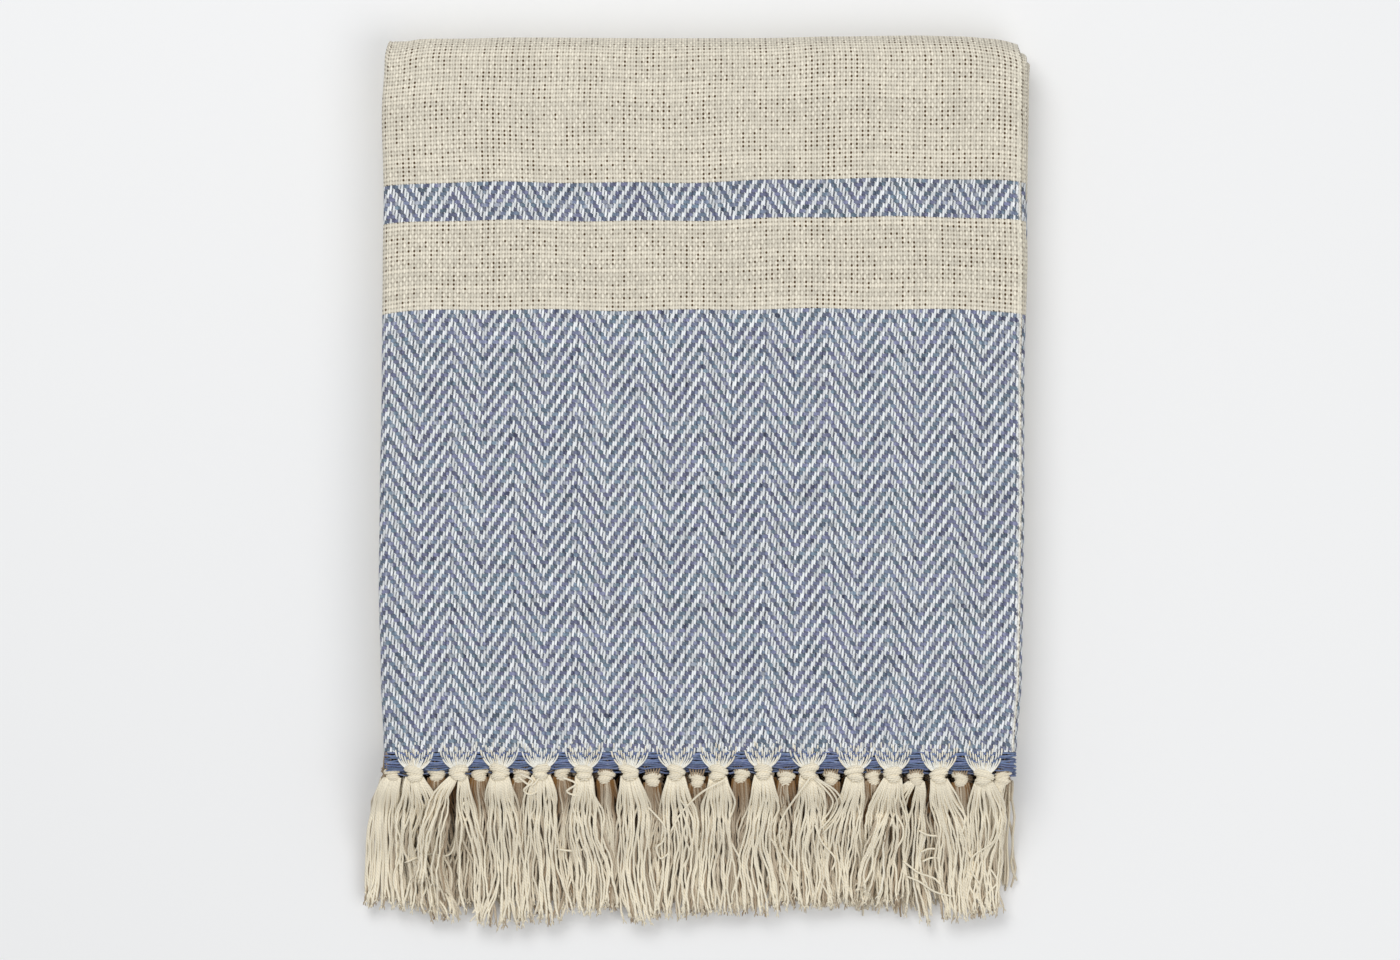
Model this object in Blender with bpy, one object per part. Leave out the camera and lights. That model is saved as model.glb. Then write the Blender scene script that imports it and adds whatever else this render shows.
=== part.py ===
"""A woven cotton throw blanket, folded in four both ways, with a knotted fringe at both of its ends.

It lies flat with +Z up. The top fold is towards +Y, and both fringes hang out towards -Y and lie on
the floor. The cloth is one back-and-forth section, swept along the folds of its length.
"""

import math

import bmesh
import bpy
from mathutils import Vector

MM = 0.001

# The cloth laid out flat, between its two headers
CLOTH_WIDE = 1.300
CLOTH_LONG = 1.452
CLOTH_THICK = 1.8 * MM
FOLDS_IN = 4

# How the folded layers lie on each other
LAYER_PITCH = 2.3 * MM
PACKET_PITCH = FOLDS_IN * LAYER_PITCH
TOP_FOLD_REACH = 9.0 * MM
INNER_FOLD_BACK = 5.2 * MM
FRONT_FOLD_BACK = 6.0 * MM
SIDE_TURN_STEPS = {"outer": 5, "inner": 3}
LENGTH_TURN_STEPS = {"outer": 6, "front": 4, "inner": 4}
ACROSS_CUTS = (0.0, 0.04, 0.25, 0.75, 0.96, 1.0)
ALONG_CUTS = (0.0, 0.20, 0.55, 0.92, 1.0)

# The header strip of loose weft, parted from the cloth's edge
PARTING = 0.3 * MM
HEADER_LONG = 7.0 * MM
HEADER_SAG = 1.6 * MM

# A tassel: its root in the header, its knot, and the locks below it
KNOT_LONG = 7.0 * MM
ROOT_WIDE = 6.0 * MM
TOP_KNOT = {"wide": 10.4 * MM, "thick": 4.0 * MM, "side": 1.2 * MM, "rings": (0.22, 0.78)}
SECOND_KNOT = {"wide": 8.4 * MM, "thick": 3.4 * MM, "side": 1.0 * MM, "rings": (0.22, 0.78)}
HIDDEN_KNOT = {"wide": 8.4 * MM, "thick": 3.4 * MM, "side": 0.0, "rings": (0.5,)}
WAIST_WIDE = 7.0 * MM
WAIST_THICK = 1.6 * MM
TASSEL_SPREAD = 17.0 * MM
LOCK_THICK = 1.1 * MM
TIP_PITCH = 1.55 * MM
LOCK_RAG = 1.5 * MM

# How far in front of the cloth's edge the locks bend, and their share of the fall to the floor there
LOCK_BENDS = ((15.0 * MM, 0.0), (34.0 * MM, 0.55), (60.0 * MM, 1.0))
# A lock's form at its two bends and its tip, as shares of its way sideways, its pitch and its thickness
LOCK_FORM = (
    # sideways, wide, thick
    (0.62, 0.74, 1.15),
    (0.92, 0.72, 1.00),
    (1.00, 0.42, 0.80),
)

# The tassels of the top row: place of the knot from the left edge, how far it lies below a straight line,
# how far its left and right locks lean to the right, and how far they reach past the knot, all in mm
TOP_ROW = (
    # knot, drop, lean left, lean right, reach
    (16.5, 0.0, -2.0, 1.0, 70.0),
    (38.9, 0.0, -4.0, 5.0, 76.0),
    (59.7, -0.5, 1.0, 2.0, 79.0),
    (80.8, -1.0, -1.5, -0.5, 77.0),
    (102.6, 0.5, 2.0, 3.0, 72.0),
    (125.8, 0.5, 4.0, 5.0, 74.0),
    (149.4, 0.5, 3.0, 4.0, 74.0),
    (170.7, 0.5, 2.0, 2.0, 73.0),
    (193.8, -0.5, 0.0, 1.0, 73.0),
    (216.9, -0.5, 2.0, 3.0, 70.0),
    (240.3, 1.0, -3.0, -3.0, 67.0),
    (259.6, 1.5, -6.0, -4.0, 67.5),
    (283.0, 2.0, 7.0, 9.0, 74.0),
    (305.8, 3.0, 6.0, 6.0, 68.0),
)
# The row under it, whose knots show between those of the top row
SECOND_ROW = (
    # knot, drop, lean left, lean right, reach
    (5.2, 1.5, -7.0, -4.0, 66.0),
    (27.6, 1.5, 0.0, 1.0, 74.0),
    (49.6, 1.5, 2.0, 4.0, 66.0),
    (70.4, 2.0, 0.0, 0.0, 72.0),
    (91.4, 1.0, 1.0, 2.0, 70.0),
    (113.6, 2.5, 1.0, 3.0, 68.0),
    (137.4, 4.0, -1.0, 1.0, 69.0),
    (160.2, 4.5, 1.0, 2.0, 68.0),
    (182.6, 2.0, 0.0, 0.0, 70.0),
    (205.4, 3.0, 1.0, 1.0, 66.0),
    (228.4, 3.5, -2.0, -1.0, 65.0),
    (249.8, 3.0, -4.0, -3.0, 64.0),
    (271.6, 3.5, -6.0, -4.0, 72.0),
    (294.2, 4.0, 3.0, 4.0, 68.0),
    (315.6, 3.0, -3.0, -2.5, 58.0),
)
# The tassels of the six covered rows, in mm
HIDDEN_REACH = 66.0
HIDDEN_SWAY = 1.6
HIDDEN_RAG = 4.0

# How far the side edges stand out to the right (mm), by the share of the way from the header up
SIDE_EDGES = (
    # up, left edge, right edge
    (0.00, 0.5, -3.6),
    (0.11, -1.0, -1.0),
    (0.23, -2.0, -0.3),
    (0.35, -1.5, 0.2),
    (0.52, -0.5, 0.0),
    (0.68, 0.0, 0.8),
    (0.77, 0.5, 0.0),
    (0.89, -0.5, 0.4),
    (0.96, 1.0, 0.6),
    (1.00, 3.0, -1.5),
)
# How far the top fold falls short of its highest place (mm), by the share of the way from left to right
TOP_EDGE = (
    # across, short
    (0.00, 0.0),
    (0.03, 1.6),
    (0.11, 1.8),
    (0.20, 1.0),
    (0.45, 1.4),
    (0.60, 1.3),
    (0.70, 0.5),
    (0.84, 0.0),
    (0.91, 0.4),
    (0.97, 1.8),
    (1.00, 4.5),
)
TOP_EDGE_FROM = 0.90
PEEK = 3.4 * MM
PEEK_UP = (0.35, 0.965, 1.01)
PEEK_ACROSS = 0.90
LOFT = 0.02
LOFT_WAVES = {"across": (9.0, 0.6), "up": (5.0, 0.9)}

CLOTH_CREAM = (0.71, 0.66, 0.56, 1.0)
YARN_CREAM = (0.78, 0.71, 0.59, 1.0)


def smooth(x):
    """A soft step from 0 to 1."""
    x = min(1.0, max(0.0, x))
    return x * x * (3.0 - 2.0 * x)


def read_table(table, at, column):
    """A table's column at a place between its rows, blended softly."""
    if at <= table[0][0]:
        return table[0][column]
    for low, high in zip(table, table[1:]):
        if at <= high[0]:
            share = smooth((at - low[0]) / (high[0] - low[0]))
            return low[column] + (high[column] - low[column]) * share
    return table[-1][column]


def turn(centre, radii, start, end, side, steps):
    """The stations inside a fold, on part of an ellipse: (across, up, normal across, normal up)."""
    found = []
    for i in range(1, steps):
        angle = math.radians(start + (end - start) * i / steps)
        normal = Vector((math.cos(angle) / radii[0], math.sin(angle) / radii[1])).normalized() * side
        found.append(
            (
                centre[0] + radii[0] * math.cos(angle),
                centre[1] + radii[1] * math.sin(angle),
                normal.x,
                normal.y,
            )
        )
    return found


def run(start, end, level, normal, cuts):
    """The stations of a flat stretch between two folds."""
    return [(start + (end - start) * cut, level, 0.0, normal) for cut in cuts]


def turn_length(radii, steps=200):
    """The length of half an ellipse."""
    points = [
        Vector((radii[0] * math.cos(math.pi * i / steps), radii[1] * math.sin(math.pi * i / steps)))
        for i in range(steps + 1)
    ]
    return sum((b - a).length for a, b in zip(points, points[1:]))


OUTER_SIDE = (1.5 * LAYER_PITCH, 1.5 * LAYER_PITCH)
INNER_SIDE = (0.5 * LAYER_PITCH, 0.5 * LAYER_PITCH)
TOP_TURN = (TOP_FOLD_REACH, 1.5 * PACKET_PITCH)
TIGHT_TURN = (0.5 * PACKET_PITCH, 0.5 * PACKET_PITCH)
RUN_WIDE = (CLOTH_WIDE - turn_length(OUTER_SIDE) - 2 * turn_length(INNER_SIDE)) / FOLDS_IN
RUN_LONG = (
    CLOTH_LONG
    - turn_length(TOP_TURN)
    - 2 * turn_length(TIGHT_TURN)
    + 2 * FRONT_FOLD_BACK
    + 2 * INNER_FOLD_BACK
) / FOLDS_IN

LEFT = -RUN_WIDE / 2
RIGHT = RUN_WIDE / 2
EDGE_Y = 0.0
TOP_Y = RUN_LONG
INNER_FOLD_Y = TOP_Y - INNER_FOLD_BACK
FRONT_FOLD_Y = FRONT_FOLD_BACK
OUTLINE_LEFT = LEFT - OUTER_SIDE[0] - CLOTH_THICK / 2
OUTLINE_RIGHT = RIGHT
OUTLINE_TOP = TOP_Y + TOP_FOLD_REACH + 1.5 * LAYER_PITCH + CLOTH_THICK / 2
FLOOR = 0.5 * PACKET_PITCH - 1.5 * LAYER_PITCH - CLOTH_THICK / 2


def side_shift(across, up):
    """How far the uneven side edges carry a place of the stack to the right."""
    share = min(1.0, max(0.0, across))
    left, right = (read_table(SIDE_EDGES, up, column) for column in (1, 2))
    return (left * (1 - share) ** 2 + right * share**2) * MM


def header_sag(x):
    """How far the weft of the header hangs down at a place across it, most at its two ends."""
    share = (x - OUTLINE_LEFT) / (OUTLINE_RIGHT - OUTLINE_LEFT)
    return HEADER_SAG * (2 * share - 1) ** 4


def settle(point):
    """Moves a point of the straight, flat stack to where it lies: the uneven outline and the soft loft."""
    x, y, z = point
    across = (x - OUTLINE_LEFT) / (OUTLINE_RIGHT - OUTLINE_LEFT)
    up = min(1.0, max(0.0, y / OUTLINE_TOP))
    share = min(1.0, max(0.0, across))
    short = read_table(TOP_EDGE, across, 1) * smooth((up - TOP_EDGE_FROM) / (1 - TOP_EDGE_FROM))
    inside = math.sin(math.pi * min(1.0, max(0.0, z / (4 * PACKET_PITCH)))) ** 2
    low, crest, high = PEEK_UP
    at = y / OUTLINE_TOP
    peek = smooth((at - low) / (crest - low)) * smooth((high - at) / (high - crest))
    peek *= smooth((across - PEEK_ACROSS) / (1 - PEEK_ACROSS)) * inside * PEEK
    (rate, start), (rate_up, start_up) = LOFT_WAVES["across"], LOFT_WAVES["up"]
    loft = 1 + LOFT * math.sin(rate * share + start) * math.sin(rate_up * up + start_up)
    return Vector((x + side_shift(across, up) + peek, y - short * MM, (z - FLOOR) * loft))


def width_section(cuts_of_layer):
    """The stations of the folded width, from the top selvedge to the second one, with their layers."""
    top, second, third, bottom = (h * LAYER_PITCH for h in (1.5, 0.5, -0.5, -1.5))
    flipped = [tuple(1 - c for c in reversed(cuts)) for cuts in cuts_of_layer]
    parts = (
        (0, run(RIGHT, LEFT, top, 1.0, flipped[0])),
        (None, turn((LEFT, 0.0), OUTER_SIDE, 90, 270, 1, SIDE_TURN_STEPS["outer"])),
        (3, run(LEFT, RIGHT, bottom, -1.0, cuts_of_layer[3])),
        (None, turn((RIGHT, (third + bottom) / 2), INNER_SIDE, -90, 90, 1, SIDE_TURN_STEPS["inner"])),
        (2, run(RIGHT, LEFT, third, 1.0, flipped[2])),
        (None, turn((LEFT, 0.0), INNER_SIDE, 270, 90, -1, SIDE_TURN_STEPS["inner"])),
        (1, run(LEFT, RIGHT, second, -1.0, cuts_of_layer[1])),
    )
    return [(station, layer) for layer, stations in parts for station in stations]


def length_path():
    """The stations of the folded length, from the top packet's end to the second packet's."""
    levels = [(i + 0.5) * PACKET_PITCH for i in range(FOLDS_IN)]
    outer, inner = (TOP_Y, 2 * PACKET_PITCH), (INNER_FOLD_Y, 2 * PACKET_PITCH)
    return [
        *run(EDGE_Y, TOP_Y, levels[3], 1.0, ALONG_CUTS),
        *turn(outer, TOP_TURN, 90, -90, 1, LENGTH_TURN_STEPS["outer"]),
        *run(TOP_Y, FRONT_FOLD_Y, levels[0], -1.0, ALONG_CUTS),
        *turn((FRONT_FOLD_Y, PACKET_PITCH), TIGHT_TURN, 270, 90, 1, LENGTH_TURN_STEPS["front"]),
        *run(FRONT_FOLD_Y, INNER_FOLD_Y, levels[1], 1.0, ALONG_CUTS),
        *turn(inner, TIGHT_TURN, -90, 90, -1, LENGTH_TURN_STEPS["inner"]),
        *run(INNER_FOLD_Y, EDGE_Y, levels[2], -1.0, ALONG_CUTS),
    ]


def swept_points(section, path, thick):
    """For each path station, the two sides of each section station, as flat-stack points."""
    rows = []
    for y, z, normal_y, normal_z in path:
        row = []
        for (x, h, normal_x, normal_h), _ in section:
            pair = []
            for side in (0.5, -0.5):
                high = h + side * thick * normal_h
                pair.append(Vector((x + side * thick * normal_x, y + normal_y * high, z + normal_z * high)))
            row.append(pair)
        rows.append(row)
    return rows


def skin(bm, rows):
    """The outer and inner faces and the two selvedges of a swept section. It gives back the vertices.

    Each cell is cut along the same diagonal as the cells above and below it, so that bent layers stay apart.
    """
    verts = [[[bm.verts.new(p) for p in pair] for pair in row] for row in rows]
    for low, high in zip(verts, verts[1:]):
        for i in range(len(low) - 1):
            leftward = low[i + 1][0].co.x < low[i][0].co.x
            backward = high[i][0].co.y < low[i][0].co.y
            for side in (0, 1):
                a, b, c, d = low[i][side], low[i + 1][side], high[i + 1][side], high[i][side]
                if leftward == backward:
                    a, b, c, d = b, c, d, a
                bm.faces.new((a, b, c))
                bm.faces.new((a, c, d))
        for i in (0, -1):
            bm.faces.new((low[i][0], low[i][1], high[i][1], high[i][0]))
    return verts


def cap(bm, row, open_cells=()):
    """The cut end of a swept section, but for the cells that something grows from."""
    for i in range(len(row) - 1):
        if i not in open_cells:
            bm.faces.new((row[i][0], row[i + 1][0], row[i + 1][1], row[i][1]))


def finish(name, bm, colour):
    """Makes the object, with its points settled and its faces pointing out."""
    for vert in bm.verts:
        vert.co = settle(vert.co)
    bmesh.ops.recalc_face_normals(bm, faces=bm.faces)
    bmesh.ops.triangulate(bm, faces=bm.faces)
    mesh = bpy.data.meshes.new(name)
    bm.to_mesh(mesh)
    bm.free()
    material = bpy.data.materials.new(name)
    material.use_nodes = True
    shader = material.node_tree.nodes["Principled BSDF"]
    shader.inputs["Base Color"].default_value = colour
    shader.inputs["Roughness"].default_value = 0.95
    shader.inputs["Metallic"].default_value = 0.0
    mesh.materials.append(material)
    obj = bpy.data.objects.new(name, mesh)
    bpy.context.scene.collection.objects.link(obj)
    print(name, len(mesh.polygons), "triangles")
    return obj


def make_cloth():
    """The woven cloth with its sixteen layers, one closed body."""
    section = width_section([ACROSS_CUTS] * FOLDS_IN)
    bm = bmesh.new()
    verts = skin(bm, swept_points(section, length_path(), CLOTH_THICK))
    cap(bm, verts[0])
    cap(bm, verts[-1])
    return finish("cloth", bm, CLOTH_CREAM)


def hidden_row(row):
    """The tassels of a covered row, whose knots lie under those of the top row or of the second one."""
    found = []
    for i, (knot, drop, *_) in enumerate(TOP_ROW if row % 2 else SECOND_ROW):
        lean = HIDDEN_SWAY * math.sin(2.1 * i + 1.7 * row)
        reach = HIDDEN_REACH + HIDDEN_RAG * math.sin(1.3 * i + 2.9 * row)
        found.append((knot, drop, lean, lean, reach))
    return found


def tassels_of(row):
    """A row's tassels as named values in metres. Row 7 is the top one, and row 0 lies on the floor."""
    table = {7: TOP_ROW, 6: SECOND_ROW}.get(row) or hidden_row(row)
    names = ("knot", "drop", "lean_left", "lean_right", "reach")
    found = []
    for line in table:
        tassel = {name: value * MM for name, value in zip(names, line)}
        across = tassel["knot"] / (OUTLINE_RIGHT - OUTLINE_LEFT)
        tassel["knot"] += OUTLINE_LEFT - side_shift(across, 0.0)
        tassel["root"] = min(RIGHT - ROOT_WIDE, max(LEFT + ROOT_WIDE, tassel["knot"]))
        tassel["drop"] = max(tassel["drop"], header_sag(tassel["root"]))
        tassel["locks"] = {7: 4, 6: 3}.get(row, 2)
        tassel["row"] = row
        found.append(tassel)
    return found


def root_cuts(tassels):
    """Where the header is cut across, so that each tassel grows from a cell of its own."""
    cuts = [0.0]
    for tassel in tassels:
        for side in (-0.5, 0.5):
            cuts.append((tassel["root"] + side * ROOT_WIDE - LEFT) / RUN_WIDE)
    return tuple(cuts + [1.0])


def row_level(row):
    """The height of a row's layer in the flat stack."""
    return 2 * PACKET_PITCH + (row + 0.5) * LAYER_PITCH


def row_height(row, out):
    """The height of a row's middle at a distance in front of the cloth's edge."""
    start = row_level(row)
    tip = FLOOR + LOCK_THICK / 2 + row * TIP_PITCH
    fall = 0.0
    for (near, fall_near), (far, fall_far) in zip(LOCK_BENDS, LOCK_BENDS[1:]):
        if out > near:
            fall = fall_near + (fall_far - fall_near) * min(1.0, (out - near) / (far - near))
    return start + (tip - start) * fall


def zip_sides(bm, first, second):
    """Faces between two rows of points that share their ends' order but not their number."""
    i = j = 0
    while i < len(first) - 1 or j < len(second) - 1:
        next_i = (i + 1) / (len(first) - 1) if i < len(first) - 1 else 2.0
        next_j = (j + 1) / (len(second) - 1) if j < len(second) - 1 else 2.0
        step_i, step_j = int(next_i <= next_j + 1e-9), int(next_j <= next_i + 1e-9)
        bm.faces.new([*first[i : i + step_i + 1], *reversed(second[j : j + step_j + 1])])
        i, j = i + step_i, j + step_j


class Ring:
    """A ring of points round a tassel: its top and bottom from left to right, and its sides' own points."""

    def __init__(self, top, bottom, left=(), right=()):
        self.top, self.bottom = list(top), list(bottom)
        self.left, self.right = list(left), list(right)

    def sides(self):
        return (
            self.top,
            self.bottom,
            [self.top[0], *self.left, self.bottom[0]],
            [self.top[-1], *self.right, self.bottom[-1]],
        )


def make_ring(bm, row, out, middle, wide, thick, columns=1, side=0.0):
    """A ring across a tassel. A side over 0 gives it a rounded edge, as a knot has."""
    level = row_height(row, out)
    wall = wide / 2 - side
    spots = [middle - wall + 2 * wall * i / columns for i in range(columns + 1)]
    top = [bm.verts.new((x, EDGE_Y - out, level + thick / 2)) for x in spots]
    bottom = [bm.verts.new((x, EDGE_Y - out, level - thick / 2)) for x in spots]
    if not side:
        return Ring(top, bottom)
    left = bm.verts.new((middle - wide / 2, EDGE_Y - out, level))
    right = bm.verts.new((middle + wide / 2, EDGE_Y - out, level))
    return Ring(top, bottom, [left], [right])


def join_rings(bm, first, second):
    for a, b in zip(first.sides(), second.sides()):
        zip_sides(bm, a, b)


def make_lock(bm, tassel, root, number):
    """One lock: four sides, bending where the fringe falls to the floor, with a narrow tip."""
    count = tassel["locks"]
    side = number / (count - 1)
    lean = tassel["lean_left"] * (1 - side) + tassel["lean_right"] * side
    pitch = TASSEL_SPREAD / count
    goal = tassel["knot"] + lean + (number - (count - 1) / 2) * pitch
    start = sum(v.co.x for v in root) / len(root)
    rag = LOCK_RAG * math.sin(12.9 * number + 345.0 * tassel["knot"] + tassel["row"])
    tip = HEADER_LONG + tassel["drop"] + tassel["reach"] + KNOT_LONG / 2 + rag
    places = [out for out, _ in LOCK_BENDS[1:]] + [tip]
    before = root
    for out, (sideways, wide, thick) in zip(places, LOCK_FORM):
        x = start + (goal - start) * sideways
        ring = make_ring(bm, tassel["row"], out, x, wide * pitch, thick * LOCK_THICK)
        if out == tip:
            for vert in ring.top + ring.bottom:
                vert.co.z -= (1 - thick) * LOCK_THICK / 2
        ring = [*ring.top, *reversed(ring.bottom)]
        for i in range(4):
            bm.faces.new((before[i], before[(i + 1) % 4], ring[(i + 1) % 4], ring[i]))
        before = ring
    bm.faces.new(before)


def make_tassel(bm, tassel, corners):
    """A tassel that grows from a cell of the header: knot, waist and locks."""
    row, count = tassel["row"], tassel["locks"]
    high = sorted(corners, key=lambda v: -v.co.z)
    left_to_right = [sorted(pair, key=lambda v: v.co.x) for pair in (high[:2], high[2:])]
    ring = Ring(*left_to_right)
    size = {7: TOP_KNOT, 6: SECOND_KNOT}.get(row, HIDDEN_KNOT)
    knot_at = HEADER_LONG + tassel["drop"]
    for share in size["rings"]:
        out = knot_at + share * KNOT_LONG
        knot = make_ring(bm, row, out, tassel["knot"], size["wide"], size["thick"], 1, size["side"])
        join_rings(bm, ring, knot)
        ring = knot
    out = knot_at + KNOT_LONG
    waist = make_ring(bm, row, out, tassel["knot"], WAIST_WIDE, WAIST_THICK, count)
    join_rings(bm, ring, waist)
    for i in range(count):
        root = (waist.top[i], waist.top[i + 1], waist.bottom[i + 1], waist.bottom[i])
        make_lock(bm, tassel, root, i)


def make_fringe(name, level, facing, row_of_layer):
    """One end's header strip, folded as the cloth is, with its four rows of tassels."""
    rows = [tassels_of(row) for row in row_of_layer]
    section = width_section([root_cuts(tassels) for tassels in rows])
    path = run(EDGE_Y - PARTING, EDGE_Y - HEADER_LONG, level, facing, (0.0, 1.0))
    points = swept_points(section, path, CLOTH_THICK)
    for pair in points[-1]:
        for point in pair:
            point.y -= header_sag(point.x)
    bm = bmesh.new()
    verts = skin(bm, points)
    cap(bm, verts[0])
    front, grown = verts[-1], []
    for layer, tassels in enumerate(rows):
        for tassel in tassels:
            for i in range(len(section) - 1):
                middle = (section[i][0][0] + section[i + 1][0][0]) / 2
                same = section[i][1] == section[i + 1][1] == layer
                if same and abs(middle - tassel["root"]) < 0.1 * MM:
                    grown.append((i, tassel))
    cap(bm, front, {i for i, _ in grown})
    for i, tassel in grown:
        make_tassel(bm, tassel, [*front[i], *front[i + 1]])
    return finish(name, bm, YARN_CREAM)


def centre_on_footprint(objects):
    """Moves the meshes so that the origin is under the middle of the whole footprint."""
    corners = [v.co for obj in objects for v in obj.data.vertices]
    middle = Vector(
        (
            (min(c.x for c in corners) + max(c.x for c in corners)) / 2,
            (min(c.y for c in corners) + max(c.y for c in corners)) / 2,
            min(c.z for c in corners),
        )
    )
    for obj in objects:
        for vert in obj.data.vertices:
            vert.co -= middle
        obj.data.update()
    print("moved by", [round(-c / MM, 2) for c in middle], "mm")


def main():
    for obj in list(bpy.data.objects):
        bpy.data.objects.remove(obj)
    cloth = make_cloth()
    top_end = make_fringe("fringe_end_a", 3.5 * PACKET_PITCH, 1.0, (7, 6, 5, 4))
    low_end = make_fringe("fringe_end_b", 2.5 * PACKET_PITCH, -1.0, (0, 1, 2, 3))
    centre_on_footprint((cloth, top_end, low_end))


main()
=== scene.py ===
# %% [markdown]
# A woven cotton throw blanket, folded in four both ways. It has blue herringbone bands on cream, and its
# warp ends are left long and knotted into tassels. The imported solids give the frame: where the sixteen
# layers lie and how far the fringe reaches. This script dresses them with a fine sheet of cloth, real
# lengths of yarn and node materials.

# %% Load the frame
import math
import random

import bpy
import numpy as np
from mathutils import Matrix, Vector


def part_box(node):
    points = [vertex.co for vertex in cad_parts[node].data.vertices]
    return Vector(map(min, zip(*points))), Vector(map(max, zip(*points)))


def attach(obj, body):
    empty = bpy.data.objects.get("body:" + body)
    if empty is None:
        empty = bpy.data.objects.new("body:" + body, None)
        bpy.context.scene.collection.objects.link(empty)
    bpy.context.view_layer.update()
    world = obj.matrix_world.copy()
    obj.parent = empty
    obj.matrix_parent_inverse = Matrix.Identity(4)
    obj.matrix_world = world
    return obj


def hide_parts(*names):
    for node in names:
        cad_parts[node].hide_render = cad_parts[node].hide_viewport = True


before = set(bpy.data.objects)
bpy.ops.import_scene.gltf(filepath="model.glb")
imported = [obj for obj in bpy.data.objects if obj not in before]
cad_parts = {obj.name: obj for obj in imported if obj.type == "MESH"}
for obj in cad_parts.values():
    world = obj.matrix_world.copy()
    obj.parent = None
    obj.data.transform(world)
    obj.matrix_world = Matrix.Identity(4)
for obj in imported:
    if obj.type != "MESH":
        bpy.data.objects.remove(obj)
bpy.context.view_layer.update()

# %% [markdown]
# The sizes are those of the cloth as it was cut and of its folds. A photo taken from straight above gives
# them a scale: 641 pixels from the left fold to the selvedge, and four such widths make the 1.30 m cloth.

# %% The cloth and how it is folded
MM = 0.001
CLOTH_WIDE = 1.300
CLOTH_LONG = 1.452
CLOTH_THICK = 1.5 * MM
FOLDS_IN = 4
LAYER_PITCH = 2.3 * MM
PACKET_PITCH = FOLDS_IN * LAYER_PITCH
TOP_FOLD_REACH = 9.0 * MM
INNER_FOLD_BACK = 5.2 * MM
FRONT_FOLD_BACK = 6.0 * MM
SOLID_THICK = 1.8 * MM
FLOOR = 0.5 * PACKET_PITCH - 1.5 * LAYER_PITCH - SOLID_THICK / 2
FACE_HEIGHT = FOLDS_IN * PACKET_PITCH

# The two radii of each kind of fold
OUTER_SIDE = (1.5 * LAYER_PITCH, 1.5 * LAYER_PITCH)
INNER_SIDE = (0.5 * LAYER_PITCH, 0.5 * LAYER_PITCH)
TOP_TURN = (TOP_FOLD_REACH, 1.5 * PACKET_PITCH)
TIGHT_TURN = (0.5 * PACKET_PITCH, 0.5 * PACKET_PITCH)


def turn_length(radii, steps=200):
    """The length of half an ellipse."""
    angles = np.linspace(0.0, math.pi, steps + 1)
    points = np.stack((radii[0] * np.cos(angles), radii[1] * np.sin(angles)), axis=1)
    return float(np.linalg.norm(np.diff(points, axis=0), axis=1).sum())


RUN_WIDE = (CLOTH_WIDE - turn_length(OUTER_SIDE) - 2 * turn_length(INNER_SIDE)) / FOLDS_IN
RUN_LONG = (
    CLOTH_LONG
    - turn_length(TOP_TURN)
    - 2 * turn_length(TIGHT_TURN)
    + 2 * FRONT_FOLD_BACK
    + 2 * INNER_FOLD_BACK
) / FOLDS_IN
LEFT, RIGHT = -RUN_WIDE / 2, RUN_WIDE / 2
TOP_Y = RUN_LONG
INNER_FOLD_Y = TOP_Y - INNER_FOLD_BACK
FRONT_FOLD_Y = FRONT_FOLD_BACK
OUTLINE_LEFT = LEFT - OUTER_SIDE[0] - SOLID_THICK / 2
OUTLINE_RIGHT = RIGHT
OUTLINE_TOP = TOP_Y + TOP_FOLD_REACH + 1.5 * LAYER_PITCH + SOLID_THICK / 2
print("one layer is", round(RUN_WIDE, 4), "m wide and", round(RUN_LONG, 4), "m long")

# %% [markdown]
# No pile of cloth is a perfect block. The side edges wander by a millimetre or two, the top fold falls
# short at its corners, the second layer peeks out at the top right, and the face has a few soft troughs.
# One map from the straight stack to the settled one moves every layer alike, so the layers never cross.

# %% How the pile has settled
SIDE_EDGES = (
    # up, left edge, right edge (mm to the right)
    (0.00, 0.5, -3.6),
    (0.11, -1.0, -1.0),
    (0.23, -2.0, -0.3),
    (0.35, -1.5, 0.2),
    (0.52, -0.5, 0.0),
    (0.68, 0.0, 0.8),
    (0.77, 0.5, 0.0),
    (0.89, -0.5, 0.4),
    (0.96, 1.0, 0.6),
    (1.00, 2.6, -1.5),
)
TOP_EDGE = (
    # across, how far short of the straight edge (mm)
    (0.000, 0.0),
    (0.007, 2.7),
    (0.015, 3.1),
    (0.030, 2.9),
    (0.056, 1.6),
    (0.11, 1.6),
    (0.20, 1.0),
    (0.45, 1.4),
    (0.60, 1.3),
    (0.70, 0.5),
    (0.84, 0.0),
    (0.91, 0.4),
    (0.97, 1.8),
    (1.00, 4.5),
)
TOP_EDGE_FROM = 0.90
PEEK = 3.4 * MM
PEEK_UP = (0.35, 0.965, 1.01)
PEEK_ACROSS = 0.90
LOFT = 0.02
LOFT_WAVES = ((9.0, 0.6), (5.0, 0.9))

# Soft troughs of the face, from one place to another on it, in shares of its width and length
TROUGHS = (
    # across, up, to across, to up, half width (mm), depth (mm)
    (0.06, 0.10, 0.04, 0.88, 7.0, 0.55),
    (0.95, 0.15, 0.96, 0.86, 6.0, 0.45),
    (0.10, 0.930, 0.90, 0.945, 7.0, 0.60),
    (0.30, 0.610, 0.86, 0.640, 8.0, 0.30),
    (0.99, 0.99, 0.90, 0.90, 4.0, 0.70),
    (0.52, 0.05, 0.58, 0.42, 12.0, 0.35),
    (0.22, 0.30, 0.36, 0.52, 14.0, 0.30),
)
TROUGH_FADE = 0.12
TROUGH_REACH = 3.0


def smooth(x):
    """A soft step from 0 to 1."""
    x = min(1.0, max(0.0, x))
    return x * x * (3.0 - 2.0 * x)


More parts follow.
